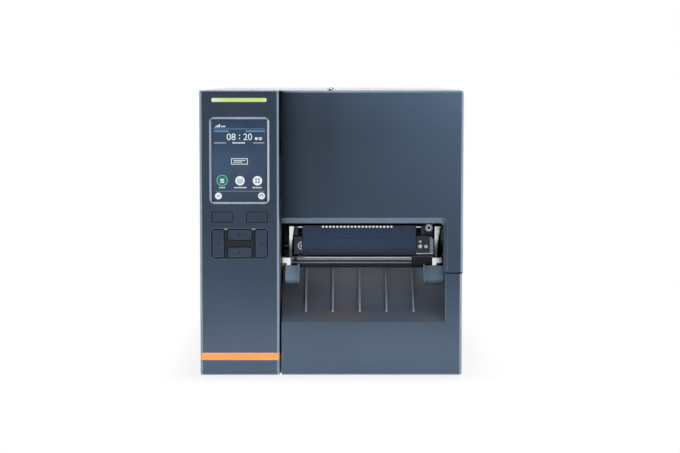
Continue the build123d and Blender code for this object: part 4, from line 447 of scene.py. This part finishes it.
def zinc_sheet(tree, shade="9BA0A5", second="B4B8BC", gloss=(0.32, 0.46)):
    """Galvanised sheet steel: rolling streaks along its length and soft crystals about 4 mm across."""
    looks = surface(tree, shade, second, 3.0, 0.8, gloss, 0.01, "D9DCDF", 0.4, 0.4, (3, 0.25, 3))
    crystals = add(tree, "TexVoronoi", "Color", {"Vector": add(tree, "TexCoord", "Object"),
                                                 "Scale": 1 / (4 * MM)})
    share = add(tree, "MapRange", 0, {"Value": add(tree, "SeparateXYZ", 0, {0: crystals}), "To Max": 0.2})
    return metallic(laid_over(tree, looks, "C6CACD", share))


def plate_zinc(tree):
    """Side plates of the same sheet, darker with painted shade; the turned flanges at the front are ground.
    """
    low, high = CAD["side_plates"]
    return laid_over(tree, zinc_sheet(tree, "5C6268", "6C7278", (0.4, 0.52)), "F6F8FA",
                     along(tree, "Y", low.y + 3.4 * MM, low.y + 2.8 * MM),
                     along(tree, "Z", high.z - 22 * MM, high.z - 12 * MM), rough=0.18)


def nickelled_steel(tree):
    """Steel, ground and bright nickel plated: fine grinding lines draw the highlight out."""
    return metallic(surface(tree, "BFC5CB", "D5D9DD", 2.0, 0.5, (0.2, 0.32), 0.008, "EEF0F2", 0.4, 0.4,
                            (0.2, 3, 3)))


def polished_nickel(tree):
    """Bar, comb inserts and latches, polished and nickel plated: they mirror the pale table."""
    return metallic(surface(tree, "F2F5F8", "FCFDFE", 3.0, 0.5, (0.15, 0.22), 0.002))


def tear_bar_steel(tree):
    """Hardened tear bar: bright where its edge is ground, grey and blasted below, dark in its groove with
    painted shade, and black at its blackened right end, with a painted highlight along that end's top; its
    support is black, then brown like the chute below."""
    looks = surface(tree, "8B96A1", "96A0AA", 4.0, 0.5, (0.35, 0.45), 0.008, stretch=(0.1, 3, 3))
    top = CAD["tear_bar"][1].z
    edge_left = -27 * MM
    edge_right = 77 * MM
    ground = add(tree, "Math", 0, {0: along(tree, "Z", top - 1.9 * MM, top - 1.5 * MM),
                                   1: span(tree, "X", edge_left, edge_right, 0.5 * MM)},
                 operation="MULTIPLY")
    looks = laid_over(tree, looks, "FBFCFD", ground, rough=0.18)
    looks = metallic(looks, add(tree, "MapRange", 0, {"Value": ground, "To Min": 0.3}))
    # Painted shade in the groove.
    looks = laid_over(tree, looks, "1A1F26", span(tree, "Z", top - 5.9 * MM, top - 4.2 * MM, 0.2 * MM))
    looks = laid_over(tree, looks, "14161A", along(tree, "Z", top - 6.9 * MM, top - 7.4 * MM), rough=0.5)
    looks = laid_over(tree, looks, "44454A", along(tree, "Z", top - 8.6 * MM, top - 9.2 * MM), rough=0.5)
    looks = laid_over(tree, looks, "191C21", along(tree, "X", edge_right, edge_right + MM))
    # Painted highlight along the top of the blackened right end.
    return laid_over(tree, looks, "9B98AC", along(tree, "X", edge_right + MM, edge_right + 2 * MM),
                     along(tree, "Z", top - 1.3 * MM, top - 0.9 * MM))


def carriage_black(tree):
    """Blackened casting of the head carriage: its side step is pale with a painted highlight, and its foot
    is machined bare.
    """
    looks = metallic(black_moulding(tree, "36424F", "3B4856", "7E8B9A"), 0.3)
    low, high = CAD["head_carriage"]
    cover_right = CAD["head_cover"][1].x
    # Painted highlight on the side step.
    looks = laid_over(tree, looks, "A7B5C2", along(tree, "X", high.x - 3.6 * MM, high.x - 3.2 * MM),
                      along(tree, "Y", low.y + MM, low.y + 0.5 * MM))
    return laid_over(tree, looks, "C9D2DB", along(tree, "Z", low.z + 1.4 * MM, low.z + 1.1 * MM),
                     along(tree, "X", cover_right - 1.9 * MM, cover_right - 0.9 * MM))


def knob_steel(tree):
    """Knurled knob, nickel plated, its flutes and slot dark with old oil."""
    flutes = 12.0
    low, high = CAD["pressure_knob"]
    centre = Vector(((low.x + high.x) / 2, 0, (low.z + high.z) / 2))
    spot = add(tree, "VectorMath", 0, {0: add(tree, "TexCoord", "Object"), 1: centre},
               operation="SUBTRACT")
    flat = add(tree, "VectorMath", 0, {0: spot, 1: (1, 0, 1)}, operation="MULTIPLY")
    reach = add(tree, "VectorMath", "Value", {0: flat}, operation="LENGTH")
    around = add(tree, "Math", 0, {0: add(tree, "SeparateXYZ", "Z", {0: flat}),
                                   1: add(tree, "SeparateXYZ", "X", {0: flat})}, operation="ARCTAN2")
    wave = add(tree, "Math", 0, {0: add(tree, "Math", 0, {0: around, 1: flutes}, operation="MULTIPLY")},
               operation="COSINE")
    flute = add(tree, "MapRange", 0, {"Value": wave, "From Min": 0.0, "From Max": 0.5})
    rim = add(tree, "MapRange", 0, {"Value": reach, "From Min": 2.3 * MM, "From Max": 2.7 * MM})
    hub = add(tree, "MapRange", 0, {"Value": reach, "From Min": 1.5 * MM, "From Max": 1.2 * MM})
    looks = laid_over(tree, nickelled_steel(tree), "23272C", flute, rim, rough=0.5)
    return laid_over(tree, looks, "2A2F35", hub, rough=0.5)


def display_ring(tree):
    """Fine blasted aluminium ring round the display, anodised to a soft even sheen. Its right side is pale
    with a painted highlight, and its inner border is printed dark under the glass."""
    looks = metallic(surface(tree, "BCCDE4", "C8D8EE", 6.0, 0.5, (0.35, 0.45), 0.008, "E6EBF2", 0.4, 0.5),
                     0.8)
    low, high = CAD["display_frame"]
    border = 2.7 * MM
    # Painted highlight on the right side.
    looks = laid_over(tree, looks, "E2EEFC", along(tree, "X", high.x - 3 * MM, high.x - 2 * MM))
    return laid_over(tree, looks, "2A3646", span(tree, "X", low.x + border, high.x - border),
                     span(tree, "Z", low.z + border, high.z - border))


def chute_anodised(tree):
    """The chute's guides, blasted and dyed pale blue; painted shade darkens their feet."""
    looks = metallic(surface(tree, "BEDEFA", "C6E4FC", 6.0, 0.5, (0.4, 0.5), 0.01, "DCE8F4", 0.6, 0.3),
                     0.05)
    foot = CAD["chute_guides"][0].z
    # Painted shade at the feet.
    return laid_over(tree, looks, "37424F", along(tree, "Z", foot + 6 * MM, foot + 1.5 * MM))


def die_casting(tree):
    """Zinc and aluminium die castings, bead blasted: matt and pitted, with rubbed edges."""
    return metallic(surface(tree, "8A8E93", "989CA0", 14.0, 0.8, (0.46, 0.6), 0.04, "C7CACD", 0.6, 0.5),
                    0.9)


def black_oxide(tree):
    """Motor cans and ribbon drives, black oxide on steel: dark with a low sheen."""
    return metallic(surface(tree, "1D1F22", "24272A", 8.0, 0.6, (0.34, 0.46), 0.02, "6B7076", 0.5, 0.5),
                    0.6)


def turned_brass(tree):
    """Brass and sintered bronze, turned: warm, dulled by oil, with turning marks round the axis."""
    return metallic(surface(tree, "94743C", "B08E52", 3.0, 0.5, (0.28, 0.42), 0.01, "D8BC80", 0.3, 0.4,
                            (6, 1, 1)))


def socket_metal(tree):
    """Tinned shells of the data sockets, with black tongues and a black network jack."""
    looks = metallic(surface(tree, "A9AEB2", "B9BDC1", 4.0, 0.6, (0.3, 0.42), 0.01, "DDE0E2", 0.3, 0.4),
                     0.8)
    middle = (CAD["data_ports"][0].x + CAD["data_ports"][1].x) / 2
    return laid_over(tree, looks, "17181A", span(tree, "X", middle - 1.6 * MM, middle + 1.6 * MM),
                     turned(tree, "Y", 1.0, 0.5), rough=0.5)


# Finishes: which piece has which

FINISHES = {
    "cover_paint": finish("satin_powder_coat", powder_coat),
    "front_plastic": finish("spark_eroded_front_moulding", moulded_front),
    "key_plastic": finish("spark_eroded_key_moulding", moulded_keys),
    "band_orange": finish("moulded_orange_abs", orange_moulding),
    "light_lime": finish("lit_acrylic_bar", light_guide),
    "ring_metal": finish("anodised_display_ring", display_ring),
    "guide_satin": finish("blasted_anodised_guide", chute_anodised),
    "display_glass": finish("lit_cover_glass", screen_glass),
    "window_smoke": finish("smoked_polycarbonate", smoked_window),
    "tray_steel": finish("galvanised_sheet", zinc_sheet),
    "bright_steel": finish("ground_nickelled_steel", nickelled_steel),
    "cast_alloy": finish("blasted_die_casting", die_casting),
    "rubber": finish("ground_nitrile_rubber", ground_rubber),
    "gear_nylon": finish("moulded_natural_nylon", moulded_nylon),
    "pinion_brass": finish("turned_brass", turned_brass),
    "head_blue": finish("moulded_head_cover", head_cover_moulding),
    "carriage_black": finish("blackened_carriage_casting", carriage_black),
    "lever_green": finish("moulded_green_nylon", black_moulding, "0A5A40", "0C6246", "3F9A7A"),
    "spindle_black": finish("moulded_black_nylon", black_moulding),
    "board_green": finish("green_solder_mask", circuit_board, "main_board"),
    "motor_black": finish("black_oxide_steel", black_oxide),
    "socket_black": finish("moulded_socket_plastic", black_moulding, "17181A", "1C1D1F", "4A4D50"),
}

OWN_FINISH = {
    "control_bezel": finish("spark_eroded_bezel_moulding", moulded_bezel),
    "door_shell": finish("door_powder_coat", door_coat),
    "lower_side_panel": finish("side_panel_powder_coat", side_panel_coat),
    "side_plates": finish("ground_flange_zinc", plate_zinc),
    "tear_bar": finish("ground_tear_bar_steel", tear_bar_steel),
    "ribbon_bar": finish("polished_nickel", polished_nickel),
    "pressure_knob": finish("knurled_nickel_knob", knob_steel),
    "keypad_board": finish("keypad_solder_mask", circuit_board, "keypad_board"),
    "data_ports": finish("tinned_socket_shells", socket_metal),
}
OWN_FINISH["platen_latches"] = OWN_FINISH["ribbon_bar"]

INK = {
    "white": finish("lit_screen_white", screen_ink, "E6EEF5", "F2F7FB"),
    "blue": finish("lit_screen_blue", screen_ink, "6E93BC", "7FA2C8"),
    "green": finish("lit_screen_green", screen_ink, "3CBE98", "4CC9A4"),
    "deep green": finish("unlit_screen_green", screen_ink, "1E5B58", "226260"),
    "dark": finish("unlit_screen_mark", screen_ink, "4A607A", "526984"),
    "print": finish("pad_printed_white", printed_ink, "E9ECEE", "D5D9DC"),
    "arrow": finish("pad_printed_black", printed_ink, "0A0F16", "0D131B"),
}


def dress_cad():
    """Give each CAD node the finish of its slot in the record, or its own variant of that finish."""
    for part in frame["record"]["subparts"]:
        material = OWN_FINISH.get(part["node"], FINISHES[part["material_slot"]])
        for slot in frame["nodes"][part["node"]].material_slots:
            slot.link = "OBJECT"
            slot.material = material


# Pieces: shapes

def settle(name, build, body, slot, material=None, soften_mm=0.0):
    """Make a mesh piece with build, soften its edges, and put it on its body and its slot. Its material is
    the slot's finish unless another is given."""
    made = bmesh.new()
    build(made)
    bmesh.ops.recalc_face_normals(made, faces=made.faces)
    mesh = bpy.data.meshes.new(name)
    made.to_mesh(mesh)
    made.free()
    mesh.materials.append(material or FINISHES[slot])
    piece = bpy.data.objects.new(name, mesh)
    bpy.context.scene.collection.objects.link(piece)
    if soften_mm:
        softened = piece.modifiers.new("softened", "BEVEL")
        softened.width = soften_mm * MM
        softened.segments = 2
        softened.limit_method = "ANGLE"
    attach(piece, body)


def prism(made, outline, y0, y1):
    """A solid whose outline, as x and z, runs from y0 to y1."""
    near = [made.verts.new((x, y0, z)) for x, z in outline]
    far = [made.verts.new((x, y1, z)) for x, z in outline]
    made.faces.new(near)
    made.faces.new(reversed(far))
    for index, corner in enumerate(near):
        made.faces.new((near[index - 1], far[index - 1], far[index], corner))


def oblong(x0, x1, z0, z1):
    """Outline of a rectangle."""
    return [(x0, z0), (x1, z0), (x1, z1), (x0, z1)]


def disc(x, z, radius, count=28, start=0):
    """Outline of a disc, or of a regular shape with count corners, its first at start degrees."""
    turns = [math.radians(start) + 2 * math.pi * index / count for index in range(count)]
    return [(x + radius * math.cos(turn), z + radius * math.sin(turn)) for turn in turns]


def arc_band(x, z, outer, inner, start, end):
    """Outline of a flat open ring, between two angles in degrees."""
    steps = 28
    turns = [math.radians(start + (end - start) * index / steps) for index in range(steps + 1)]
    rim = [(x + outer * math.cos(turn), z + outer * math.sin(turn)) for turn in turns]
    bore = [(x + inner * math.cos(turn), z + inner * math.sin(turn)) for turn in reversed(turns)]
    return rim + bore


def ring(x, z, outer, inner):
    """Two outlines that close to a flat ring."""
    return [arc_band(x, z, outer, inner, 0, 180), arc_band(x, z, outer, inner, 180, 360)]


# Pieces: what the display shows, placed in millimetres from its middle

GLASS = CAD["display_glass"]
SCREEN = (GLASS[0] + GLASS[1]) / 2
SCREEN_Y = GLASS[0].y
INK_LIFT = 0.06 * MM
PICTURE_EDGE = 23.5
RULE = 0.4
CAPTION_HEIGHT = 1.1
TICK_PITCH = 1.5
TICK_WIDTH = 1.0
DIGIT_HEIGHT = 6.3
DIGIT_FOOT = 19.3
DIGIT_SHARE = 0.72


def on_screen(shape, *sizes):
    """An outline given in millimetres from the display's middle."""
    return [(SCREEN.x + u * MM, SCREEN.z + v * MM) for u, v in shape(*sizes)]


def lit(name, outlines, ink="white", layer=1):
    """Marks on the display, in one layer of light over the last."""
    def build(made):
        for outline in outlines:
            prism(made, outline, SCREEN_Y - layer * INK_LIFT, SCREEN_Y - (layer - 0.9) * INK_LIFT)
    settle("screen_" + name, build, "chassis", "display_glass", INK[ink])


def rule(u0, u1, v):
    """A thin line of light with its foot at v."""
    return on_screen(oblong, u0, u1, v, v + RULE)


def ticks(u0, u1, v, height=CAPTION_HEIGHT):
    """A row of short bars that stands for a line of small type."""
    starts = [u0 + index * TICK_PITCH for index in range(int((u1 - u0) / TICK_PITCH + 0.5))]
    return [on_screen(oblong, start, start + TICK_WIDTH, v, v + height) for start in starts]


def lit_digits(name, words, u):
    """Digits in the face that comes with the program, centred on u. They fill DIGIT_SHARE of their size."""
    data = bpy.data.curves.new("screen_" + name, "FONT")
    data.body = words
    data.size = DIGIT_HEIGHT * MM / DIGIT_SHARE
    data.align_x = "CENTER"
    data.extrude = 0.45 * INK_LIFT
    data.materials.append(INK["white"])
    piece = bpy.data.objects.new("screen_" + name, data)
    piece.rotation_euler = (math.radians(90), 0, 0)
    piece.location = (SCREEN.x + u * MM, SCREEN_Y - 0.55 * INK_LIFT, SCREEN.z + DIGIT_FOOT * MM)
    bpy.context.scene.collection.objects.link(piece)
    bpy.context.view_layer.update()
    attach(piece, "chassis")


def make_status_row():
    """Signal bars, a battery bar, and two runs of small type under a blue line."""
    foot = 31.2
    bars = [on_screen(oblong, -22.7 + 1.3 * step, -21.8 + 1.3 * step, foot, foot + 0.8 + 0.7 * step)
            for step in range(4)]
    lit("signal_bars", bars + ticks(-17.0, -12.0, 31.3, 1.4))
    lit("status_line", [rule(-PICTURE_EDGE, 23.8, 29.5)], "blue")
    lit("status_type", ticks(-23.2, -10.0, 26.8, 1.5) + ticks(6.4, 23.8, 26.8, 1.5), "blue")


def make_clock():
    """Time, a small mark beside it, and the date between two rules."""
    level = 16.4
    lit_digits("clock_hours", "08", -7.5)
    lit_digits("clock_minutes", "20", 8.0)
    lit("clock_colon", [on_screen(disc, 0.3, 20.7, 0.6), on_screen(disc, 0.3, 23.8, 0.6)])
    lit("clock_mark", [on_screen(disc, 16.0, 20.6, 1.3), on_screen(oblong, 18.2, 21.4, 19.4, 20.3),
                       on_screen(oblong, 18.2, 21.4, 20.9, 21.8)])
    rules = [rule(-PICTURE_EDGE, -12.2, level), rule(13.0, PICTURE_EDGE, level)]
    lit("date_row", rules + ticks(-6.2, 6.0, 16.0, 1.3))


def make_label_sign():
    """A label with three lines on it, in the middle of the display."""
    edges = [oblong(-7.6, 7.9, 1.5, 2.1), oblong(-7.6, 7.9, -3.6, -3.0),
             oblong(-7.6, -7.0, -3.0, 1.5), oblong(7.3, 7.9, -3.0, 1.5)]
    lines = [oblong(-5.4, 5.6, -0.2, 0.4), oblong(-5.4, 2.6, -1.7, -1.1)]
    lit("label_sign", [on_screen(list, outline) for outline in edges + lines])


def make_menu():
    """Three round buttons with captions, and a small round button in each lower corner."""
    menu = (-16.1, -18.6)
    feed = (0.6, -18.9)
    tiles = (17.0, -18.9)
    ready = (-19.7, -33.2)
    dial = (20.8, -33.2)
    caption = -25.9
    lit("menu_field", [on_screen(disc, *menu, 4.3)], "deep green")
    lit("menu_ring", [on_screen(list, half) for half in ring(*menu, 5.3, 4.4)], "green")
    lit("menu_sheet", [on_screen(oblong, -18.0, -14.2, -17.9 - 1.5 * row, -17.0 - 1.5 * row)
                       for row in range(3)], layer=2)
    for name, place, radius in (("feed", feed, 4.4), ("tiles", tiles, 4.4), ("ready", ready, 3.2),
                                ("dial", dial, 3.2)):
        lit(name + "_button", [on_screen(disc, *place, radius)])
    lit("feed_ring", [on_screen(arc_band, *feed, 2.5, 1.8, 100, 420), on_screen(disc, *feed, 0.8)],
        "dark", 2)
    lit("tiles_mark", [on_screen(oblong, tiles[0] + a, tiles[0] + 1.6 + a, tiles[1] + b, tiles[1] + 1.6 + b)
                       for a in (-2.1, 0.5) for b in (-2.1, 0.5)], "dark", 2)
    tick = [(-21.2, -33.1), (-20.2, -34.4), (-18.0, -32.0), (-18.5, -31.5), (-20.2, -33.4), (-20.7, -32.6)]
    lit("ready_tick", [on_screen(list, tick)], "dark", 2)
    lit("dial_ring", [on_screen(arc_band, *dial, 1.9, 1.3, -60, 240),
                      on_screen(oblong, 20.5, 21.1, -33.4, -31.6)], "dark", 2)
    lit("captions", ticks(-19.0, -13.0, caption) + ticks(-4.9, 6.5, caption) + ticks(12.3, 21.8, caption))
    lit("lower_line", [rule(-22.5, 23.6, -28.9)], "blue")


# Pieces: fasteners and marks

def make_head_fittings():
    """Clip, pin, screws and catch on the end blocks of the print head."""
    low = CAD["head_carriage"][0]
    left = CAD["head_cover"][0].x
    right = CAD["head_cover"][1].x
    clip = (left - 0.4 * MM, low.z + 8.4 * MM)
    screw = right + 4.1 * MM
    open_side = (92, 268)

    def fit(name, slot, soften_mm, *fittings):
        """Fittings on the carriage's front, each an outline and how far it stands off, in millimetres."""
        def build(made):
            for outline, stand_mm in fittings:
                prism(made, outline, low.y - stand_mm * MM, low.y)
        settle(name, build, "head", slot, soften_mm=soften_mm)

    fit("head_retaining_clip", "bright_steel", 0.12, (arc_band(*clip, 4.2 * MM, 3.0 * MM, *open_side), 0.5))
    fit("head_clip_pin", "tray_steel", 0.12, (arc_band(*clip, 2.2 * MM, 0.2 * MM, *open_side), 0.35))
    fit("head_block_screws", "bright_steel", 0.3, (disc(screw, low.z + 7.8 * MM, 2.1 * MM), 0.8),
        (disc(screw, low.z + 12.4 * MM, 1.3 * MM), 0.6))
    fit("head_block_catch", "bright_steel", 0.3,
        (oblong(right + 8.1 * MM, right + 11.3 * MM, low.z + 5.9 * MM, low.z + 9.1 * MM), 0.5))


def make_comb_inserts():
    """Bright wear inserts that stand in the slots of the comb over the ribbon bar."""
    low, high = CAD["head_cover"]
    count = 20
    pitch = 3.5 * MM
    half = 1.1 * MM
    first = (low.x + high.x) / 2 - 2 * MM - (count - 1) / 2 * pitch

    def inserts(made):
        for index in range(count):
            x = first + index * pitch
            prism(made, oblong(x - half, x + half, high.z - 2.0 * MM, high.z - 0.1 * MM),
                  low.y - 0.1 * MM, low.y + 2 * MM)
    settle("comb_wear_inserts", inserts, "head", "bright_steel", OWN_FINISH["ribbon_bar"], 0.15)


def make_tear_bar_screws():
    """Black cap screws that hold the tear bar at its ends."""
    low, high = CAD["tear_bar"]
    caps = ((low.x + 3.2 * MM, high.z - 3.4 * MM, 1.7 * MM),
            (high.x - 18.9 * MM, high.z - 2.8 * MM, 1.2 * MM),
            (high.x - 11.4 * MM, high.z - 3.6 * MM, 1.9 * MM))

    def screws(made):
        for x, z, radius in caps:
            for half in ring(x, z, radius, 0.5 * radius):
                prism(made, half, low.y - MM, low.y)
            prism(made, disc(x, z, 0.55 * radius, 6), low.y - 0.4 * MM, low.y)
    settle("tear_bar_screws", screws, "chassis", "motor_black", soften_mm=0.12)


def make_key_arrows():
    """Small dark arrows printed on the arrow keys, over the arrows sunk in them."""
    for side, turn in (("up", 90), ("left", 180), ("down", 270), ("right", 0)):
        low, high = CAD["key_" + side]
        middle = (low + high) / 2

        def arrow(made):
            prism(made, disc(middle.x, middle.z, 1.5 * MM, 3, turn), low.y - 0.05 * MM, low.y + 0.05 * MM)
        settle(side + "_key_arrow", arrow, side + "_key", "key_plastic", INK["arrow"])


def make_switch_marks():
    """The line and the ring on the mains switch, printed on its face, which leans out towards its top."""
    low, high = CAD["power_rocker"]
    middle = (low + high) / 2
    slope = math.tan(math.radians(10))
    face = high.y - (high.z - middle.z) * slope

    def mark(name, outlines):
        def build(made):
            for outline in outlines:
                prism(made, outline, -0.05 * MM, 0.05 * MM)
            for vert in made.verts:
                vert.co.y += face + (vert.co.z - middle.z) * slope
        settle(name, build, "rocker", "socket_black", INK["print"])

    mark("switch_on_line", [oblong(middle.x - 0.4 * MM, middle.x + 0.4 * MM, middle.z + 2.2 * MM,
                                   middle.z + 5.2 * MM)])
    mark("switch_off_ring", ring(middle.x, middle.z - 3.7 * MM, 1.6 * MM, 1.0 * MM))


def make_window_seal():
    """Rubber bead pressed into the joint round the door's window."""
    low, high = CAD["door_window"]
    corner = 12 * MM
    steps = 8
    points = []
    for y, z, start in ((high.y - corner, high.z - corner, 0), (low.y + corner, high.z - corner, 90),
                        (low.y + corner, low.z + corner, 180), (high.y - corner, low.z + corner, 270)):
        for step in range(steps + 1):
            turn = math.radians(start + 90 * step / steps)
            points.append((y + corner * math.cos(turn), z + corner * math.sin(turn)))
    data = bpy.data.curves.new("window_seal", "CURVE")
    data.dimensions = "3D"
    data.bevel_depth = 0.9 * MM
    data.bevel_resolution = 2
    data.materials.append(FINISHES["rubber"])
    line = data.splines.new("POLY")
    line.points.add(len(points) - 1)
    line.use_cyclic_u = True
    for point, (y, z) in zip(line.points, points):
        point.co = (high.x - 0.5 * MM, y, z, 1)
    piece = bpy.data.objects.new("window_seal", data)
    bpy.context.scene.collection.objects.link(piece)
    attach(piece, "door")


# Floor, lights and background

def matt_table(tree):
    """Matt white table under the object."""
    return surface(tree, "F2F4F6", "F4F6F8", 60.0, 3.0, (0.85, 0.95), 0.01)


def make_floor():
    """White table. Beside the object the camera sees a little of its shade and shadow, further out plain
    white."""
    half = 6.0
    fade_reach = 0.05
    least_white = 0.85
    mesh = bpy.data.meshes.new("floor")
    mesh.from_pydata([(-half, -half, 0), (half, -half, 0), (half, half, 0), (-half, half, 0)], [],
                     [(0, 1, 2, 3)])
    floor = bpy.data.objects.new("floor", mesh)
    bpy.context.scene.collection.objects.link(floor)
    material = finish("matt_white_table", matt_table)
    tree = material.node_tree
    own = tree.nodes["Principled BSDF"].outputs[0]
    seen = add(tree, "Math", 0, {0: add(tree, "LightPath", "Is Camera Ray"),
                                 1: add(tree, "LightPath", "Is Glossy Ray")}, operation="MAXIMUM")
    seen = add(tree, "Math", 0, {0: seen, 1: add(tree, "LightPath", "Is Transmission Ray")},
               operation="MAXIMUM")
    spot = add(tree, "VectorMath", 0, {0: add(tree, "TexCoord", "Object")}, operation="ABSOLUTE")
    beyond = add(tree, "VectorMath", 0, {0: spot, 1: (cad_box[1][0], cad_box[1][1], 0)},
                 operation="SUBTRACT")
    beyond = add(tree, "VectorMath", 0, {0: beyond, 1: (0, 0, 0)}, operation="MAXIMUM")
    reach = add(tree, "VectorMath", "Value", {0: beyond}, operation="LENGTH")
    fade = add(tree, "MapRange", 0, {"Value": reach, "From Max": fade_reach, "To Min": least_white},
               interpolation_type="SMOOTHSTEP")
    share = add(tree, "Math", 0, {0: seen, 1: fade}, operation="MULTIPLY")
    white = add(tree, "Emission", 0, {"Color": (1, 1, 1, 1), "Strength": 1.0})
    shown = add(tree, "MixShader", 0, {0: share, 1: own, 2: white})
    tree.links.new(shown, tree.nodes["Material Output"].inputs["Surface"])
    mesh.materials.append(material)


def make_lamp(name, spot, aim, size, power, mirrored=True):
    """A soft box at spot, turned to aim; power in watts. One that isn't mirrored leaves no highlight."""
    data = bpy.data.lights.new(name, "AREA")
    data.shape = "RECTANGLE"
    data.size, data.size_y = size
    data.energy = power
    lamp = bpy.data.objects.new(name, data)
    lamp.location = spot
    lamp.rotation_mode = "QUATERNION"
    lamp.rotation_quaternion = (Vector(aim) - Vector(spot)).to_track_quat("-Z", "Y")
    lamp.visible_camera = False
    lamp.visible_glossy = mirrored
    bpy.context.scene.collection.objects.link(lamp)


def make_lights():
    """Soft boxes at both sides, above, ahead and behind, and a low one that lifts the foot of the front."""
    make_lamp("lamp_right", (0.75, -0.55, 0.45), (0, -0.1, 0.16), (0.4, 0.6), 2.2)
    make_lamp("lamp_left", (-0.75, -0.55, 0.45), (0, -0.1, 0.16), (0.4, 0.6), 1.0)
    make_lamp("lamp_top", (0, -0.2, 1.7), (0, 0, 0.2), (1.4, 1.2), 6)
    make_lamp("lamp_ahead", (0, -1.7, 0.32), (0, -0.2, 0.12), (0.9, 0.3), 2.1, mirrored=False)
    make_lamp("lamp_low", (0, -0.28, 0.025), (0, -0.2, 0.025), (0.5, 0.03), 0.2, mirrored=False)
    make_lamp("lamp_back", (0.4, 1.8, 1.0), (0, 0, 0.14), (1.6, 1.0), 14)


def make_world():
    """Soft studio air on the object. The camera and glass see a white room, and so do mirrors, which see
    it dimmer on the camera's side, where the room is dark behind the lamps."""
    air = 0.18
    world = bpy.data.worlds.new("studio")
    world.use_nodes = True
    tree = world.node_tree
    tree.nodes.clear()
    depth = add(tree, "SeparateXYZ", "Y", {0: add(tree, "TexCoord", "Generated")})
    ahead = add(tree, "MapRange", 0, {"Value": depth, "From Min": -0.6, "From Max": 0.3, "To Min": 0.2})
    seen = add(tree, "Math", 0, {0: add(tree, "LightPath", "Is Camera Ray"),
                                 1: add(tree, "LightPath", "Is Transmission Ray")}, operation="MAXIMUM")
    mirrored = add(tree, "Math", 0, {0: add(tree, "LightPath", "Is Glossy Ray"), 1: ahead},
                   operation="MULTIPLY")
    shown = add(tree, "Math", 0, {0: seen, 1: mirrored}, operation="MAXIMUM")
    level = add(tree, "Math", 0, {0: shown, 1: air}, operation="MAXIMUM")
    room = add(tree, "Background", 0, {"Color": (1, 1, 1, 1), "Strength": level})
    add(tree, "OutputWorld", 0, {"Surface": room})
    bpy.context.scene.world = world


make_camera()
dress_cad()
make_status_row()
make_clock()
make_label_sign()
make_menu()
make_head_fittings()
make_comb_inserts()
make_tear_bar_screws()
make_key_arrows()
make_switch_marks()
make_window_seal()
make_floor()
make_lights()
make_world()
bpy.context.scene.view_settings.view_transform = "Standard"
